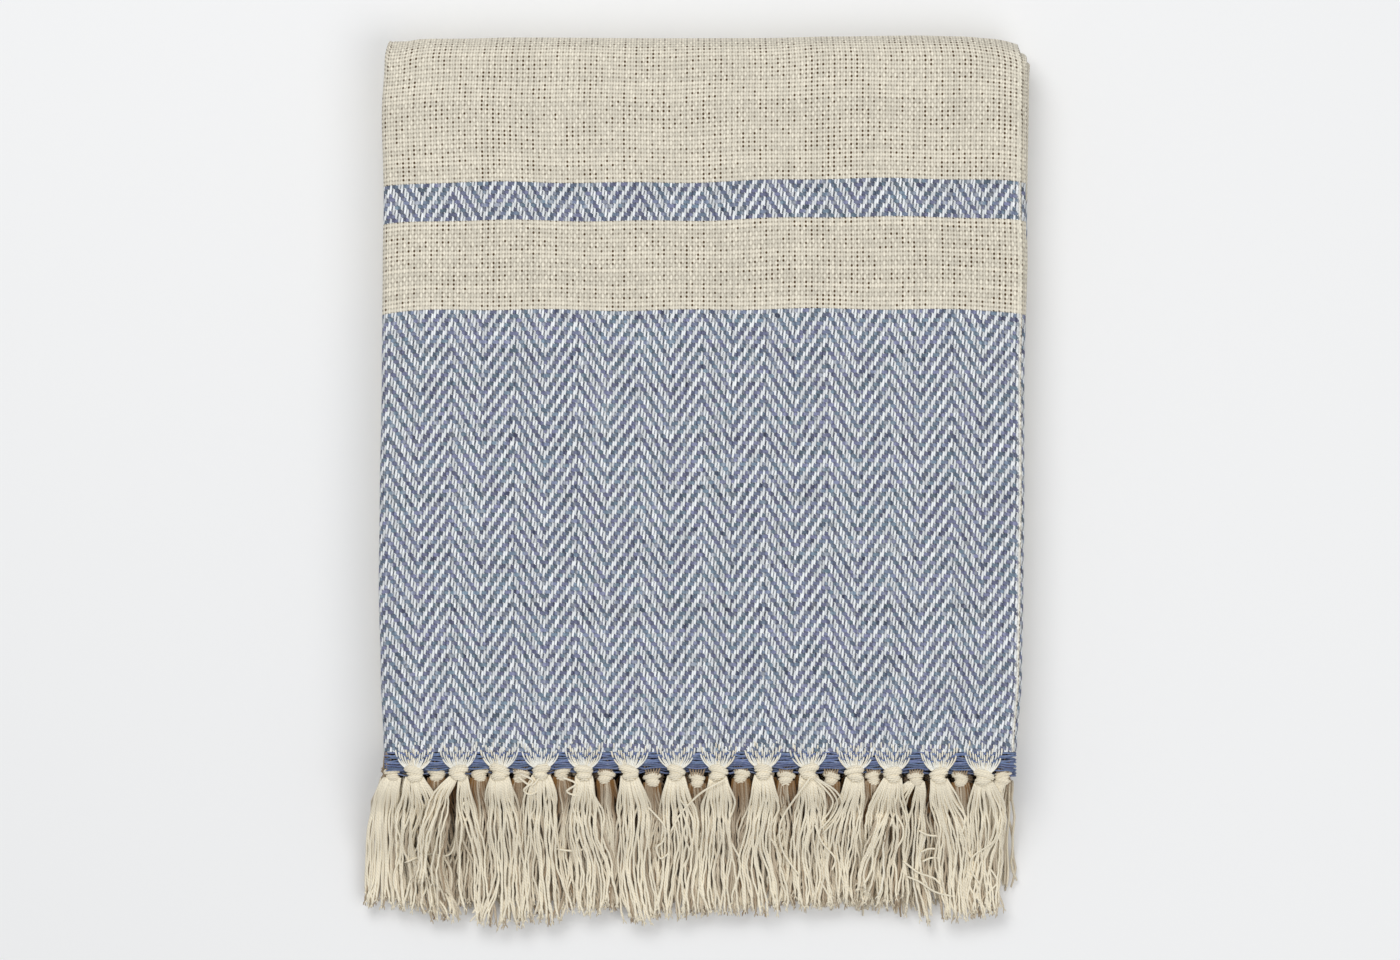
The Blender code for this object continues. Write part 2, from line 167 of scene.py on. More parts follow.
def read_table(table, at, column):
    """A table's column at a place between its rows, blended softly."""
    if at <= table[0][0]:
        return table[0][column]
    for low, high in zip(table, table[1:]):
        if at <= high[0]:
            share = smooth((at - low[0]) / (high[0] - low[0]))
            return low[column] + (high[column] - low[column]) * share
    return table[-1][column]


def side_shift(across, up):
    """How far the uneven side edges carry a place of the stack to the right."""
    share = min(1.0, max(0.0, across))
    left, right = (read_table(SIDE_EDGES, up, column) for column in (1, 2))
    return (left * (1 - share) ** 2 + right * share**2) * MM


def troughs(across, up):
    """How deep the soft troughs of the face are at a place."""
    depth = 0.0
    for x0, y0, x1, y1, half_wide, deep in TROUGHS:
        start = Vector((x0 * RUN_WIDE, y0 * OUTLINE_TOP))
        way = Vector((x1 * RUN_WIDE, y1 * OUTLINE_TOP)) - start
        here = Vector((across * RUN_WIDE, up * OUTLINE_TOP)) - start
        along = min(1.0, max(0.0, here.dot(way) / way.length_squared))
        away = (here - way * along).length / (half_wide * MM)
        if away < TROUGH_REACH:
            swell = math.sin(math.pi * (TROUGH_FADE + (1 - 2 * TROUGH_FADE) * along))
            depth += deep * MM * math.exp(-away * away) * swell
    return depth


def settle(point):
    """Moves a point of the straight, flat stack to where it lies."""
    x, y, z = point
    across = (x - OUTLINE_LEFT) / (OUTLINE_RIGHT - OUTLINE_LEFT)
    up = min(1.0, max(0.0, y / OUTLINE_TOP))
    share = min(1.0, max(0.0, across))
    short = read_table(TOP_EDGE, across, 1) * smooth((up - TOP_EDGE_FROM) / (1 - TOP_EDGE_FROM))
    inside = math.sin(math.pi * min(1.0, max(0.0, z / FACE_HEIGHT))) ** 2
    low, crest, high = PEEK_UP
    at = y / OUTLINE_TOP
    peek = smooth((at - low) / (crest - low)) * smooth((high - at) / (high - crest))
    peek *= smooth((across - PEEK_ACROSS) / (1 - PEEK_ACROSS)) * inside * PEEK
    (rate, start), (rate_up, start_up) = LOFT_WAVES
    loft = 1 + LOFT * math.sin(rate * share + start) * math.sin(rate_up * up + start_up)
    height = (z - FLOOR) * loft
    if y > 0:
        height -= troughs(across, at) * max(0.0, z / FACE_HEIGHT) ** 2
    return (x + side_shift(across, up) + peek, y - short * MM, height)


print("the face has", len(TROUGHS), "soft troughs")

# %% [markdown]
# The straight stack is modelled with its own origin on the cut edge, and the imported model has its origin
# under the middle of the whole footprint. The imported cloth's box gives the step between the two, so every
# piece lands where the solids are.

# %% From the stack's own origin to the frame's
SIDE_OVERLAP = 0.2 * MM

front_of_folds = FRONT_FOLD_Y - TIGHT_TURN[0] - OUTER_SIDE[0] - SOLID_THICK / 2
cloth_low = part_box("cloth")[0]
left_most = min(OUTLINE_LEFT + side_shift(0.0, step / 200) for step in range(201))
TO_FRAME = Vector((cloth_low.x - left_most - SIDE_OVERLAP, cloth_low.y - front_of_folds, 0.0))
print("the stack moves by", [round(c / MM, 2) for c in TO_FRAME], "mm")


def place(point):
    """A point of the straight stack, settled, in the frame's own metres."""
    return Vector(settle(point)) + TO_FRAME


# %% [markdown]
# The camera comes early, because the framing decides how much detail each piece needs. The throw is seen
# from straight above through a long lens, so its sides stay hidden and its scale is even. One pixel of
# the 1400 x 960 picture is 0.508 mm at the level of the top layer.

# %% Camera, floor and light
PICTURE_WIDE, PICTURE_HIGH = 1400, 960
PIXEL = 0.508 * MM
CUT_EDGE_PIXEL_Y = 752
MIDDLE_PIXEL_X = 701.5
CAMERA_HEIGHT = 2.6
SENSOR = 36.0
FLOOR_REACH = 4.0
FLOOR_BELOW = 0.05 * MM


def put(name, data):
    """A new object of the scene."""
    made = bpy.data.objects.new(name, data)
    bpy.context.scene.collection.objects.link(made)
    return made


camera = put("camera", bpy.data.cameras.new("camera"))
camera.data.sensor_width = SENSOR
camera.data.lens = SENSOR * (CAMERA_HEIGHT - FACE_HEIGHT) / (PICTURE_WIDE * PIXEL)
aim_x = (OUTLINE_LEFT + OUTLINE_RIGHT) / 2 + (PICTURE_WIDE / 2 - MIDDLE_PIXEL_X) * PIXEL
aim_y = (CUT_EDGE_PIXEL_Y - PICTURE_HIGH / 2) * PIXEL
camera.location = Vector((aim_x, aim_y, CAMERA_HEIGHT)) + TO_FRAME
camera.data.clip_end = 20.0
bpy.context.scene.camera = camera


def srgb(red, green, blue):
    """A colour given as a painter reads it from a screen, 0 to 255, as Blender's linear light."""
    linear = []
    for value in (red, green, blue):
        value /= 255.0
        linear.append(value / 12.92 if value <= 0.04045 else ((value + 0.055) / 1.055) ** 2.4)
    return (*linear, 1.0)


def softbox(name, size, power, location, target):
    """A large soft lamp that looks at a point."""
    lamp = bpy.data.lights.new(name, "AREA")
    lamp.shape = "DISK"
    lamp.size = size
    lamp.energy = power
    lamp_object = put(name, lamp)
    lamp_object.location = location
    way = Vector(target) - Vector(location)
    lamp_object.rotation_euler = way.to_track_quat("-Z", "Y").to_euler()


softbox("key_light", 1.3, 20.0, (-0.5, 1.1, 1.9), (0, 0, 0))
softbox("fill_light", 1.8, 16.0, (0.9, -0.7, 2.0), (0, 0, 0))
world = bpy.data.worlds.new("studio")
world.use_nodes = True
background = world.node_tree.nodes["Background"]
background.inputs["Color"].default_value = (0.96, 0.98, 1.0, 1.0)
background.inputs["Strength"].default_value = 0.40
bpy.context.scene.world = world
bpy.context.scene.view_settings.view_transform = "Standard"

floor_mesh = bpy.data.meshes.new("floor")
floor_corners = [(x * FLOOR_REACH, y * FLOOR_REACH, 0) for x, y in ((-1, -1), (1, -1), (1, 1), (-1, 1))]
floor_mesh.from_pydata(floor_corners, [], [(0, 1, 2, 3)])
floor = put("floor", floor_mesh)
floor.location.z = -FLOOR_BELOW
floor_finish = bpy.data.materials.new("floor_white")
floor_finish.use_nodes = True
floor_shader = floor_finish.node_tree.nodes["Principled BSDF"]
floor_shader.inputs["Base Color"].default_value = (0.95, 0.95, 0.95, 1)
floor_shader.inputs["Roughness"].default_value = 0.9
floor_mesh.materials.append(floor_finish)
print("lens", round(camera.data.lens, 1), "mm")

# %% [markdown]
# A weave is arithmetic: which yarn is on top depends on the end's number and the pick's number. Math nodes
# can say that, but a formula of thirty nodes is hard to read. This small class lets Python's own signs
# add the nodes, so that the weave's formula below reads as it would on paper.

# %% Formulas made of math nodes


def feed(tree, slot, value):
    """Gives a node's slot a Number, another node's socket or a constant."""
    if isinstance(value, Number):
        value = value.socket
    if isinstance(value, bpy.types.NodeSocket):
        tree.links.new(value, slot)
    else:
        slot.default_value = value


def by_math(operation):
    """A way to work on a Number that adds one math node."""
    return lambda number, *others: number.work(operation, *others)


class Number:
    """A number that a node tree works out at each point of a surface."""

    def __init__(self, tree, socket):
        self.tree, self.socket = tree, socket

    def work(self, operation, *others):
        node = self.tree.nodes.new("ShaderNodeMath")
        node.operation = operation
        for slot, value in zip(node.inputs, (self, *others)):
            feed(self.tree, slot, value)
        return Number(self.tree, node.outputs[0])

    __add__ = by_math("ADD")
    __sub__ = by_math("SUBTRACT")
    __mul__ = by_math("MULTIPLY")
    __truediv__ = by_math("DIVIDE")
    __mod__ = by_math("FLOORED_MODULO")
    floor = by_math("FLOOR")
    size = by_math("ABSOLUTE")
    sine = by_math("SINE")
    at_least = by_math("MAXIMUM")
    at_most = by_math("MINIMUM")
    above = by_math("GREATER_THAN")

    def rise(self, low, high):
        """0 below low, 1 above high, and a soft step between them."""
        node = self.tree.nodes.new("ShaderNodeMapRange")
        node.interpolation_type = "SMOOTHSTEP"
        self.tree.links.new(self.socket, node.inputs["Value"])
        node.inputs["From Min"].default_value = low
        node.inputs["From Max"].default_value = high
        return Number(self.tree, node.outputs["Result"])

    def towards(self, other, share):
        """Itself at share 0, the other number at share 1."""
        return self + (other - self) * share


def vector_of(tree, x, y, z=0.0):
    node = tree.nodes.new("ShaderNodeCombineXYZ")
    for slot, value in zip(node.inputs, (x, y, z)):
        feed(tree, slot, value)
    return node.outputs[0]


def chance(tree, x, y, z=0.0):
    """A number from 0 to 1 that is drawn anew for each x, y and z."""
    node = tree.nodes.new("ShaderNodeTexWhiteNoise")
    tree.links.new(vector_of(tree, x, y, z), node.inputs["Vector"])
    return Number(tree, node.outputs["Value"])


def cloudy(tree, x, y, z=0.0, scale=1.0, detail=2.0):
    """A number that drifts softly round 0.5."""
    node = tree.nodes.new("ShaderNodeTexNoise")
    tree.links.new(vector_of(tree, x, y, z), node.inputs["Vector"])
    node.inputs["Scale"].default_value = scale
    node.inputs["Detail"].default_value = detail
    return Number(tree, node.outputs["Fac"])


def blend_colours(tree, first, second, share, mode="MIX"):
    """A Mix node of two colours, each a socket or a constant."""
    node = tree.nodes.new("ShaderNodeMix")
    node.data_type = "RGBA"
    node.blend_type = mode
    for slot, value in (("Factor_Float", share), ("A_Color", first), ("B_Color", second)):
        feed(tree, next(s for s in node.inputs if s.identifier == slot), value)
    return next(s for s in node.outputs if s.identifier == "Result_Color")


def read_map(tree, name):
    """The two numbers of a UV map."""
    node = tree.nodes.new("ShaderNodeUVMap")
    node.uv_map = name
    parts = tree.nodes.new("ShaderNodeSeparateXYZ")
    tree.links.new(node.outputs["UV"], parts.inputs[0])
    return Number(tree, parts.outputs[0]), Number(tree, parts.outputs[1])


def socket_kind(is_colour):
    return "NodeSocketColor" if is_colour else "NodeSocketFloat"


def new_group(name, inputs, outputs):
    """A shader node group: its tree, what it is given as Numbers, and the node that takes its results.

    Inputs are labels with start values, and outputs are labels."""
    tree = bpy.data.node_groups.new(name, "ShaderNodeTree")
    for label, value in inputs.items():
        kind = socket_kind(isinstance(value, tuple))
        tree.interface.new_socket(label, in_out="INPUT", socket_type=kind).default_value = value
    for label in outputs:
        tree.interface.new_socket(label, in_out="OUTPUT", socket_type=socket_kind(label == "Colour"))
    given = tree.nodes.new("NodeGroupInput")
    return tree, [Number(tree, given.outputs[label]) for label in inputs], tree.nodes.new("NodeGroupOutput")


def use_group(tree, group, **values):
    """Places a group in a tree. A value is a Number, a socket, a colour or a plain number."""
    node = tree.nodes.new("ShaderNodeGroup")
    node.node_tree = group
    for label, value in values.items():
        feed(tree, node.inputs[label.replace("_", " ")], value)
    return node


print("helpers ready")

# %% [markdown]
# Cotton yarn is fuzzy and never even: thick and thin places, specks, and a few paler fibres. Cloth and
# tassels are the same cotton, so one group gives this to both.

# %% The cotton group: uneven colour and fine fibres
SPECKS_PER_M, PATCHES_PER_M = 2600.0, 45.0
SPECK_SHARE, PATCH_SHARE = 1.4, 1.0

cotton, (colour, across, along, uneven), result = new_group(
    "cotton fibres",
    {"Colour": (0.7, 0.65, 0.55, 1), "Across": 0.0, "Along": 0.0, "Unevenness": 0.12},
    ("Colour", "Fuzz"),
)
speck = cloudy(cotton, across, along, scale=SPECKS_PER_M, detail=3.0)
patch = cloudy(cotton, across, along, 4.0, scale=PATCHES_PER_M, detail=2.0)
strength = ((speck - 0.5) * SPECK_SHARE + (patch - 0.5) * PATCH_SHARE) * uneven + 1.0
scaled = vector_of(cotton, strength, strength, strength)
feed(cotton, result.inputs["Colour"], blend_colours(cotton, colour, scaled, 1.0, "MULTIPLY"))
feed(cotton, result.inputs["Fuzz"], speck)
print("group", cotton.name, len(cotton.nodes), "nodes")

# %% [markdown]
# The cloth has a plain weave in its cream parts and a pointed 2/2 twill, a herringbone, in its blue ones.
# In the twill each end floats over two picks and under two, and each next end starts one pick later, for
# eleven ends up and eleven ends down. A height for the warp and one for the weft come from two sines, and
# whichever is higher shows. So yarns dive under each other with round ends, as real ones do. The warp ends
# lie in pairs, because the reed held two in each dent, and light falls through between the pairs. The
# finish paints these holes and the valleys between yarns with painted shade. At the selvedge the band fades
# into plain cream, because its last ends are packed closer and hide the weft.

# %% The weave
END_PITCH = 1.4415 * MM
PICK_PITCH = 2.16 * MM
ZIGZAG_ENDS = 22
FIRST_PEAK_END = 24.5
WIDE_BAND = (0, 104)
NARROW_BAND = (125, 134)
PICKS_IN_ALL = round(CLOTH_LONG / PICK_PITCH)
SELVEDGE_WIDE = 2.6 * MM
PLAIN_EDGE = (-0.4 * MM, 2.2 * MM)
HOLE_WIDE = 0.70 * MM
HOLE_LONG = 0.82 * MM
HALF_TURN = math.pi

# Half widths of the yarns in shares of their pitch, and heights in shares of a yarn's half thickness
WARP_HALF = 0.47
WARP_HALF_TWILL = 0.36
WEFT_HALF = 0.45
CRIMP = 0.55
TWILL_LIFT = 0.22
SELVEDGE_LIFT = 0.6
EDGE_OF_YARN = 0.10

# How unevenly the yarns lie, in shares of their pitch
PAIRED_LEAST, PAIRED_MORE = 0.015, 0.09
FLOAT_LEAN = 0.17
WARP_WANDER, WARP_WANDERS_PER_M = 0.22, 160.0
WEFT_BOW, WEFT_BOWS_PER_M = 0.25, 120.0

# How open the holes are: for each hole, for each gap between dents, and at the least
HOLE_DRAW, GAP_DRAW, OPEN_LEAST = 0.82, 0.48, 0.12
OPEN_PATCHES_PER_M, OPEN_PATCH = 60.0, 1.6
TWILL_CLOSED = 0.6

weave, (across, along), result = new_group(
    "plain and herringbone weave",
    {"Across": 0.0, "Along": 0.0},
    ("Height", "Warp on top", "In a blue band", "Hole", "End", "Pick"),
)
ends, picks = across / END_PITCH, along / PICK_PITCH
end, pick = ends.floor(), picks.floor()

from_an_end = (pick - (PICKS_IN_ALL - 1) / 2).size() * -1.0 + (PICKS_IN_ALL - 1) / 2 + 0.5
twill = from_an_end.above(WIDE_BAND[0] - 1.0) * (from_an_end * -1.0).above(-float(WIDE_BAND[1]))
narrow = from_an_end.above(float(NARROW_BAND[0])) * (from_an_end * -1.0).above(-float(NARROW_BAND[1]))
edge_far = (across - CLOTH_WIDE / 2).size() * -1.0 + CLOTH_WIDE / 2
twill = twill.at_least(narrow) * edge_far.rise(PLAIN_EDGE[0], PLAIN_EDGE[1])


def zigzag(number):
    """Up eleven and down eleven, with its peak at 0."""
    turned = (number + (ZIGZAG_ENDS / 2 - FIRST_PEAK_END)) % float(ZIGZAG_ENDS)
    return (turned - ZIGZAG_ENDS / 2).size()


def wave(number, ends_per_half_turn):
    return (number * (HALF_TURN / ends_per_half_turn)).sine()


warp_phase = zigzag(end + 0.5) + picks
weft_phase = zigzag(ends) + pick + 0.5
warp_centre = wave(end + picks, 1).towards(wave(warp_phase, 2) * math.sqrt(2), twill)
weft_centre = wave(ends + pick, 1).towards(wave(weft_phase, 2) * math.sqrt(2), twill)

# Ends of one dent lie together, some dents more than others. Warp floats of the twill lean a little.
dent = (end / 2.0).floor()
closeness = chance(weave, dent, 7.0) * PAIRED_MORE + PAIRED_LEAST
side_of_pair = (end % 2.0) * -2.0 + 1.0
lean = ((warp_phase % 2.0) - 1.0) * twill * FLOAT_LEAN
wander = (cloudy(weave, end * 3.7, along, scale=WARP_WANDERS_PER_M, detail=1.0) - 0.5) * WARP_WANDER
from_end = ends - end - 0.5 - closeness * side_of_pair + lean + wander
bow = (cloudy(weave, across, pick * 5.3, scale=WEFT_BOWS_PER_M, detail=1.0) - 0.5) * WEFT_BOW
from_pick = picks - pick - 0.5 + bow


def round_back(share):
    """The height of a yarn's round back at a share of the way from its middle to its edge."""
    return share * share * -1.0 + 1.0


selvedge = edge_far.rise(SELVEDGE_WIDE, SELVEDGE_WIDE * 0.6)
narrowing = twill * (1 / WARP_HALF_TWILL - 1 / WARP_HALF) + 1 / WARP_HALF
warp_top = warp_centre * CRIMP + round_back(from_end * narrowing)
warp_top = warp_top + selvedge * SELVEDGE_LIFT + twill * TWILL_LIFT
weft_top = weft_centre * -CRIMP + round_back(from_pick / WEFT_HALF)
height = warp_top.at_least(weft_top)
on_top = (warp_top - weft_top).rise(-EDGE_OF_YARN, EDGE_OF_YARN)
from_dent = ((ends + 1.0) % 2.0 - 1.0).size() * (END_PITCH / HOLE_WIDE)
from_gap = ((picks % 1.0 - 0.5).size() * -1.0 + 0.5) * (PICK_PITCH / HOLE_LONG)
dent_side, gap_side = (ends / 2.0 + 0.5).floor(), (picks + 0.5).floor()
openness = chance(weave, dent_side, gap_side, 3.0)
openness = openness * openness * HOLE_DRAW + chance(weave, dent_side, 5.0, 9.0) * GAP_DRAW + OPEN_LEAST
openness = openness * (cloudy(weave, across, along, 2.0, scale=OPEN_PATCHES_PER_M) * OPEN_PATCH + 0.2)
round_hole = (from_dent * from_dent + from_gap * from_gap).rise(1.0, 0.25)
hole = round_hole * openness * (twill * -TWILL_CLOSED + 1.0)
for slot, value in zip(result.inputs, (height, on_top, twill, hole, end, pick)):
    feed(weave, slot, value)
print("group", weave.name, len(weave.nodes), "nodes")

# %% [markdown]
# The cream weft and warp are one cotton. The blue weft is a melange: violet blue, teal blue and grey blue
# fibres spun together, so its colour drifts along each pick. Beside the blue the warp looks a cool white.
# The valleys between the yarns and the holes are darkened in the colour itself: painted shade, dark brown
# in the cream and dark grey in the blue.

# %% The cloth's finish
CREAM_WARP = srgb(238, 231, 213)
CREAM_WEFT = srgb(230, 222, 204)
WHITE_WARP = srgb(237, 240, 242)
BLUES = (srgb(124, 127, 156), srgb(116, 134, 150), srgb(166, 171, 180), srgb(82, 87, 112))
# Painted shade for the holes and the deepest valleys between yarns, in the cream and in the blue
GAP_SHADE_CREAM = srgb(92, 70, 44)
GAP_SHADE_BLUE = srgb(50, 51, 60)
MATT = {"Roughness": 0.92, "Specular IOR Level": 0.18, "Sheen Weight": 0.12, "Sheen Roughness": 0.6}
SLOW_TINTS_PER_M, QUICK_TINTS_PER_M = 55.0, 420.0
TEAL_FROM, GREY_FROM, DARK_FROM = (0.42, 0.60), (0.50, 0.72), (0.46, 0.28)
YARN_DRAW, YARN_DRAW_BLUE = 0.26, 0.12
END_DRAW = 0.06
STITCH_DRAW = 0.62
# The heights over which valleys between yarns get painted shade, and how much, in the cream and in the blue
VALLEY = (1.35, -0.05)
VALLEY_SHADE, VALLEY_SHADE_BLUE = 0.62, 0.14


def new_material(name, slot_colour):
    material = bpy.data.materials.new(name)
    material.use_nodes = True
    material.diffuse_color = slot_colour
    shader = material.node_tree.nodes["Principled BSDF"]
    for label, value in MATT.items():
        shader.inputs[label].default_value = value
    return material, material.node_tree, shader


def melange(tree, x, y, seed):
    """Blue cotton whose tint drifts along the yarn."""
    slow = cloudy(tree, x * SLOW_TINTS_PER_M, y, seed, detail=3.0)
    quick = cloudy(tree, x * QUICK_TINTS_PER_M, y * 1.7, seed + 3.0)
    tint = blend_colours(tree, BLUES[0], BLUES[1], slow.rise(*TEAL_FROM))
    tint = blend_colours(tree, tint, BLUES[2], quick.rise(*GREY_FROM))
    return blend_colours(tree, tint, BLUES[3], quick.rise(*DARK_FROM))


def bump(tree, shader, height, distance, strength):
    node = tree.nodes.new("ShaderNodeBump")
    node.inputs["Distance"].default_value = distance
    node.inputs["Strength"].default_value = strength
    tree.links.new(height.socket, node.inputs["Height"])
    tree.links.new(node.outputs["Normal"], shader.inputs["Normal"])


woven, tree, shader = new_material("woven_cotton", CREAM_WARP)
u, v = read_map(tree, "flat")
cell = use_group(tree, weave, Across=u, Along=v)
out = {s.name: Number(tree, s) for s in cell.outputs}
band, top = out["In a blue band"], out["Warp on top"]
warp_colour = blend_colours(tree, CREAM_WARP, WHITE_WARP, band)
weft_colour = blend_colours(tree, CREAM_WEFT, melange(tree, u, out["Pick"] * 2.31, 0.0), band)
yarn_colour = blend_colours(tree, weft_colour, warp_colour, top)
yarn_draw = chance(tree, out["End"] * top, out["Pick"], top) - 0.5
each_yarn = yarn_draw * (band * YARN_DRAW_BLUE + YARN_DRAW) + 1.0
each_yarn = each_yarn * (chance(tree, out["End"], 3.0) * END_DRAW + (1.0 - END_DRAW / 2))
stitch = (chance(tree, out["End"], out["Pick"], 11.0) - 0.5) * STITCH_DRAW
each_yarn = each_yarn + stitch * band * (top * -1.0 + 1.0)
# Painted shade: the valleys between the yarns and the holes are darkened towards the shade colours
depth = out["Height"].rise(*VALLEY) * (band * VALLEY_SHADE_BLUE + VALLEY_SHADE)
gap_shade_colour = blend_colours(tree, GAP_SHADE_CREAM, GAP_SHADE_BLUE, band)
shaded = blend_colours(tree, yarn_colour, gap_shade_colour, depth.at_least(out["Hole"]).at_most(1.0))
shaded = blend_colours(tree, shaded, vector_of(tree, each_yarn, each_yarn, each_yarn), 1.0, "MULTIPLY")
fibres = use_group(tree, cotton, Colour=shaded, Across=u, Along=v, Unevenness=0.16)
tree.links.new(fibres.outputs["Colour"], shader.inputs["Base Color"])
relief = out["Height"] - out["Hole"] * 0.7 + Number(tree, fibres.outputs["Fuzz"]) * 0.25
bump(tree, shader, relief, 0.35 * MM, 0.55)
print("material", woven.name, len(tree.nodes), "nodes")

# %% [markdown]
# The cloth is one closed sheet: a section that runs back and forth through four layers, swept along the
# four lengths of the second fold. Sweeping a section is the surest way to keep sixteen layers apart. The
# layers that show get a fine grid, and the hidden ones a coarse one.

# %% The folded section and its way through the long folds
FINE_CUTS, COARSE_CUTS = 56, 14
FINE_TURN, COARSE_TURN = 12, 8


def turn(centre, radii, start, end, side, steps):
    """The stations inside a fold, on part of an ellipse: (across, up, normal across, normal up)."""
    found = []
    for i in range(1, steps):
        angle = math.radians(start + (end - start) * i / steps)
        normal = Vector((math.cos(angle) / radii[0], math.sin(angle) / radii[1])).normalized() * side
        spot = (centre[0] + radii[0] * math.cos(angle), centre[1] + radii[1] * math.sin(angle))
        found.append((*spot, normal.x, normal.y))
    return found


def run(start, end, level, normal, cuts):
    """The stations of a flat stretch between two folds. Cuts is a number or a list of shares."""
    shares = np.linspace(0.0, 1.0, cuts + 1) if isinstance(cuts, int) else cuts
    return [(start + (end - start) * share, level, 0.0, normal) for share in shares]


def width_section(cuts):
    """The stations of the folded width, from the top selvedge to the second one, with their layers."""
    top, second, third, bottom = (h * LAYER_PITCH for h in (1.5, 0.5, -0.5, -1.5))
    parts = (
        (0, run(RIGHT, LEFT, top, 1.0, cuts[0])),
        (None, turn((LEFT, 0.0), OUTER_SIDE, 90, 270, 1, FINE_TURN)),
        (3, run(LEFT, RIGHT, bottom, -1.0, cuts[3])),
        (None, turn((RIGHT, (third + bottom) / 2), INNER_SIDE, -90, 90, 1, COARSE_TURN)),
        (2, run(RIGHT, LEFT, third, 1.0, cuts[2])),
        (None, turn((LEFT, 0.0), INNER_SIDE, 270, 90, -1, COARSE_TURN)),
        (1, run(LEFT, RIGHT, second, -1.0, cuts[1])),
    )
    return [(station, layer) for layer, stations in parts for station in stations]


def length_path():
    """The stations of the folded length, from the top packet's end to the second packet's."""
    levels = [(i + 0.5) * PACKET_PITCH for i in range(FOLDS_IN)]
    outer, inner = (TOP_Y, 2 * PACKET_PITCH), (INNER_FOLD_Y, 2 * PACKET_PITCH)
    return [
        *run(0.0, TOP_Y, levels[3], 1.0, FINE_CUTS),
        *turn(outer, TOP_TURN, 90, -90, 1, 2 * FINE_TURN),
        *run(TOP_Y, FRONT_FOLD_Y, levels[0], -1.0, 2 * COARSE_CUTS),
        *turn((FRONT_FOLD_Y, PACKET_PITCH), TIGHT_TURN, 270, 90, 1, FINE_TURN),
        *run(FRONT_FOLD_Y, INNER_FOLD_Y, levels[1], 1.0, COARSE_CUTS),
        *turn(inner, TIGHT_TURN, -90, 90, -1, COARSE_TURN),
        *run(INNER_FOLD_Y, 0.0, levels[2], -1.0, COARSE_CUTS),
    ]


section = width_section((FINE_CUTS, COARSE_CUTS, COARSE_CUTS, COARSE_CUTS))
path = length_path()
print("section", len(section), "stations, path", len(path), "stations")

# %% [markdown]
# Two maps go with the sheet. "flat" says where each point was before folding, in metres, and the weave
# reads it. Near the side edges the weft lines droop a little, because the fold and the selvedge pull
# them. "OFBake" is a second map for pictures of the finish, where the face gets most of the room.

# %% The sheet of cloth
DROOP = 2.3 * MM
DROOP_REACH = 13.0 * MM
STRIPE_RISE = 2.2 * MM
RISE_ACROSS, RISE_UP = (0.45, 0.35), (0.20, 0.08)
RIPPLES = ((0.35 * MM, 31.0, 40.0, 0.0), (0.25 * MM, 13.0, 0.0, 9.0))
PICTURE_FACE = (0.74, 0.92)
PICTURE_MARGIN = 0.006
FACE_ACROSS, FACE_ALONG = 0.332, 0.41
MAP_WIDE, MAP_LONG = CLOTH_WIDE + 0.05, CLOTH_LONG + 0.1
STRIP_HIGH, BACK_FROM, BACK_HIGH = 0.8, 0.806, 0.194
HAIR = 1e-6


def droop(x, y):
    """How far the weft lines hang below a straight line at a place of the face."""
    edge = math.exp(-(x - OUTLINE_LEFT) / DROOP_REACH) + math.exp(-(OUTLINE_RIGHT - x) / DROOP_REACH)
    share = (x - OUTLINE_LEFT) / (OUTLINE_RIGHT - OUTLINE_LEFT)
    rise = STRIPE_RISE * smooth((share - RISE_ACROSS[0]) / RISE_ACROSS[1])
    rise *= smooth((y - RISE_UP[0]) / RISE_UP[1])
    ripple = sum(high * math.sin(wide * share + long * y + start) for high, wide, long, start in RIPPLES)
    return DROOP * edge - rise + ripple


def picture_place(u, v, side):
    """A place in the finish map: the face in its lower left, the rest in the strips beside it."""
    wide, high = PICTURE_FACE
    inner_low, inner_high = wide + PICTURE_MARGIN, 1.0
    if side == 0 and u <= FACE_ACROSS and v <= FACE_ALONG:
        return u / FACE_ACROSS * wide, v / FACE_ALONG * high
    if side == 0 and u <= FACE_ACROSS:
        share = (v - FACE_ALONG) / (MAP_LONG - FACE_ALONG)
        return inner_low + u / FACE_ACROSS * (inner_high - inner_low), share * STRIP_HIGH
    if side == 0:
        share = (u - FACE_ACROSS) / (MAP_WIDE - FACE_ACROSS)
        top = high + PICTURE_MARGIN
        return share * wide, top + v / MAP_LONG * (1.0 - top)
    share = v / MAP_LONG
    return inner_low + u / MAP_WIDE * (inner_high - inner_low), BACK_FROM + share * BACK_HIGH


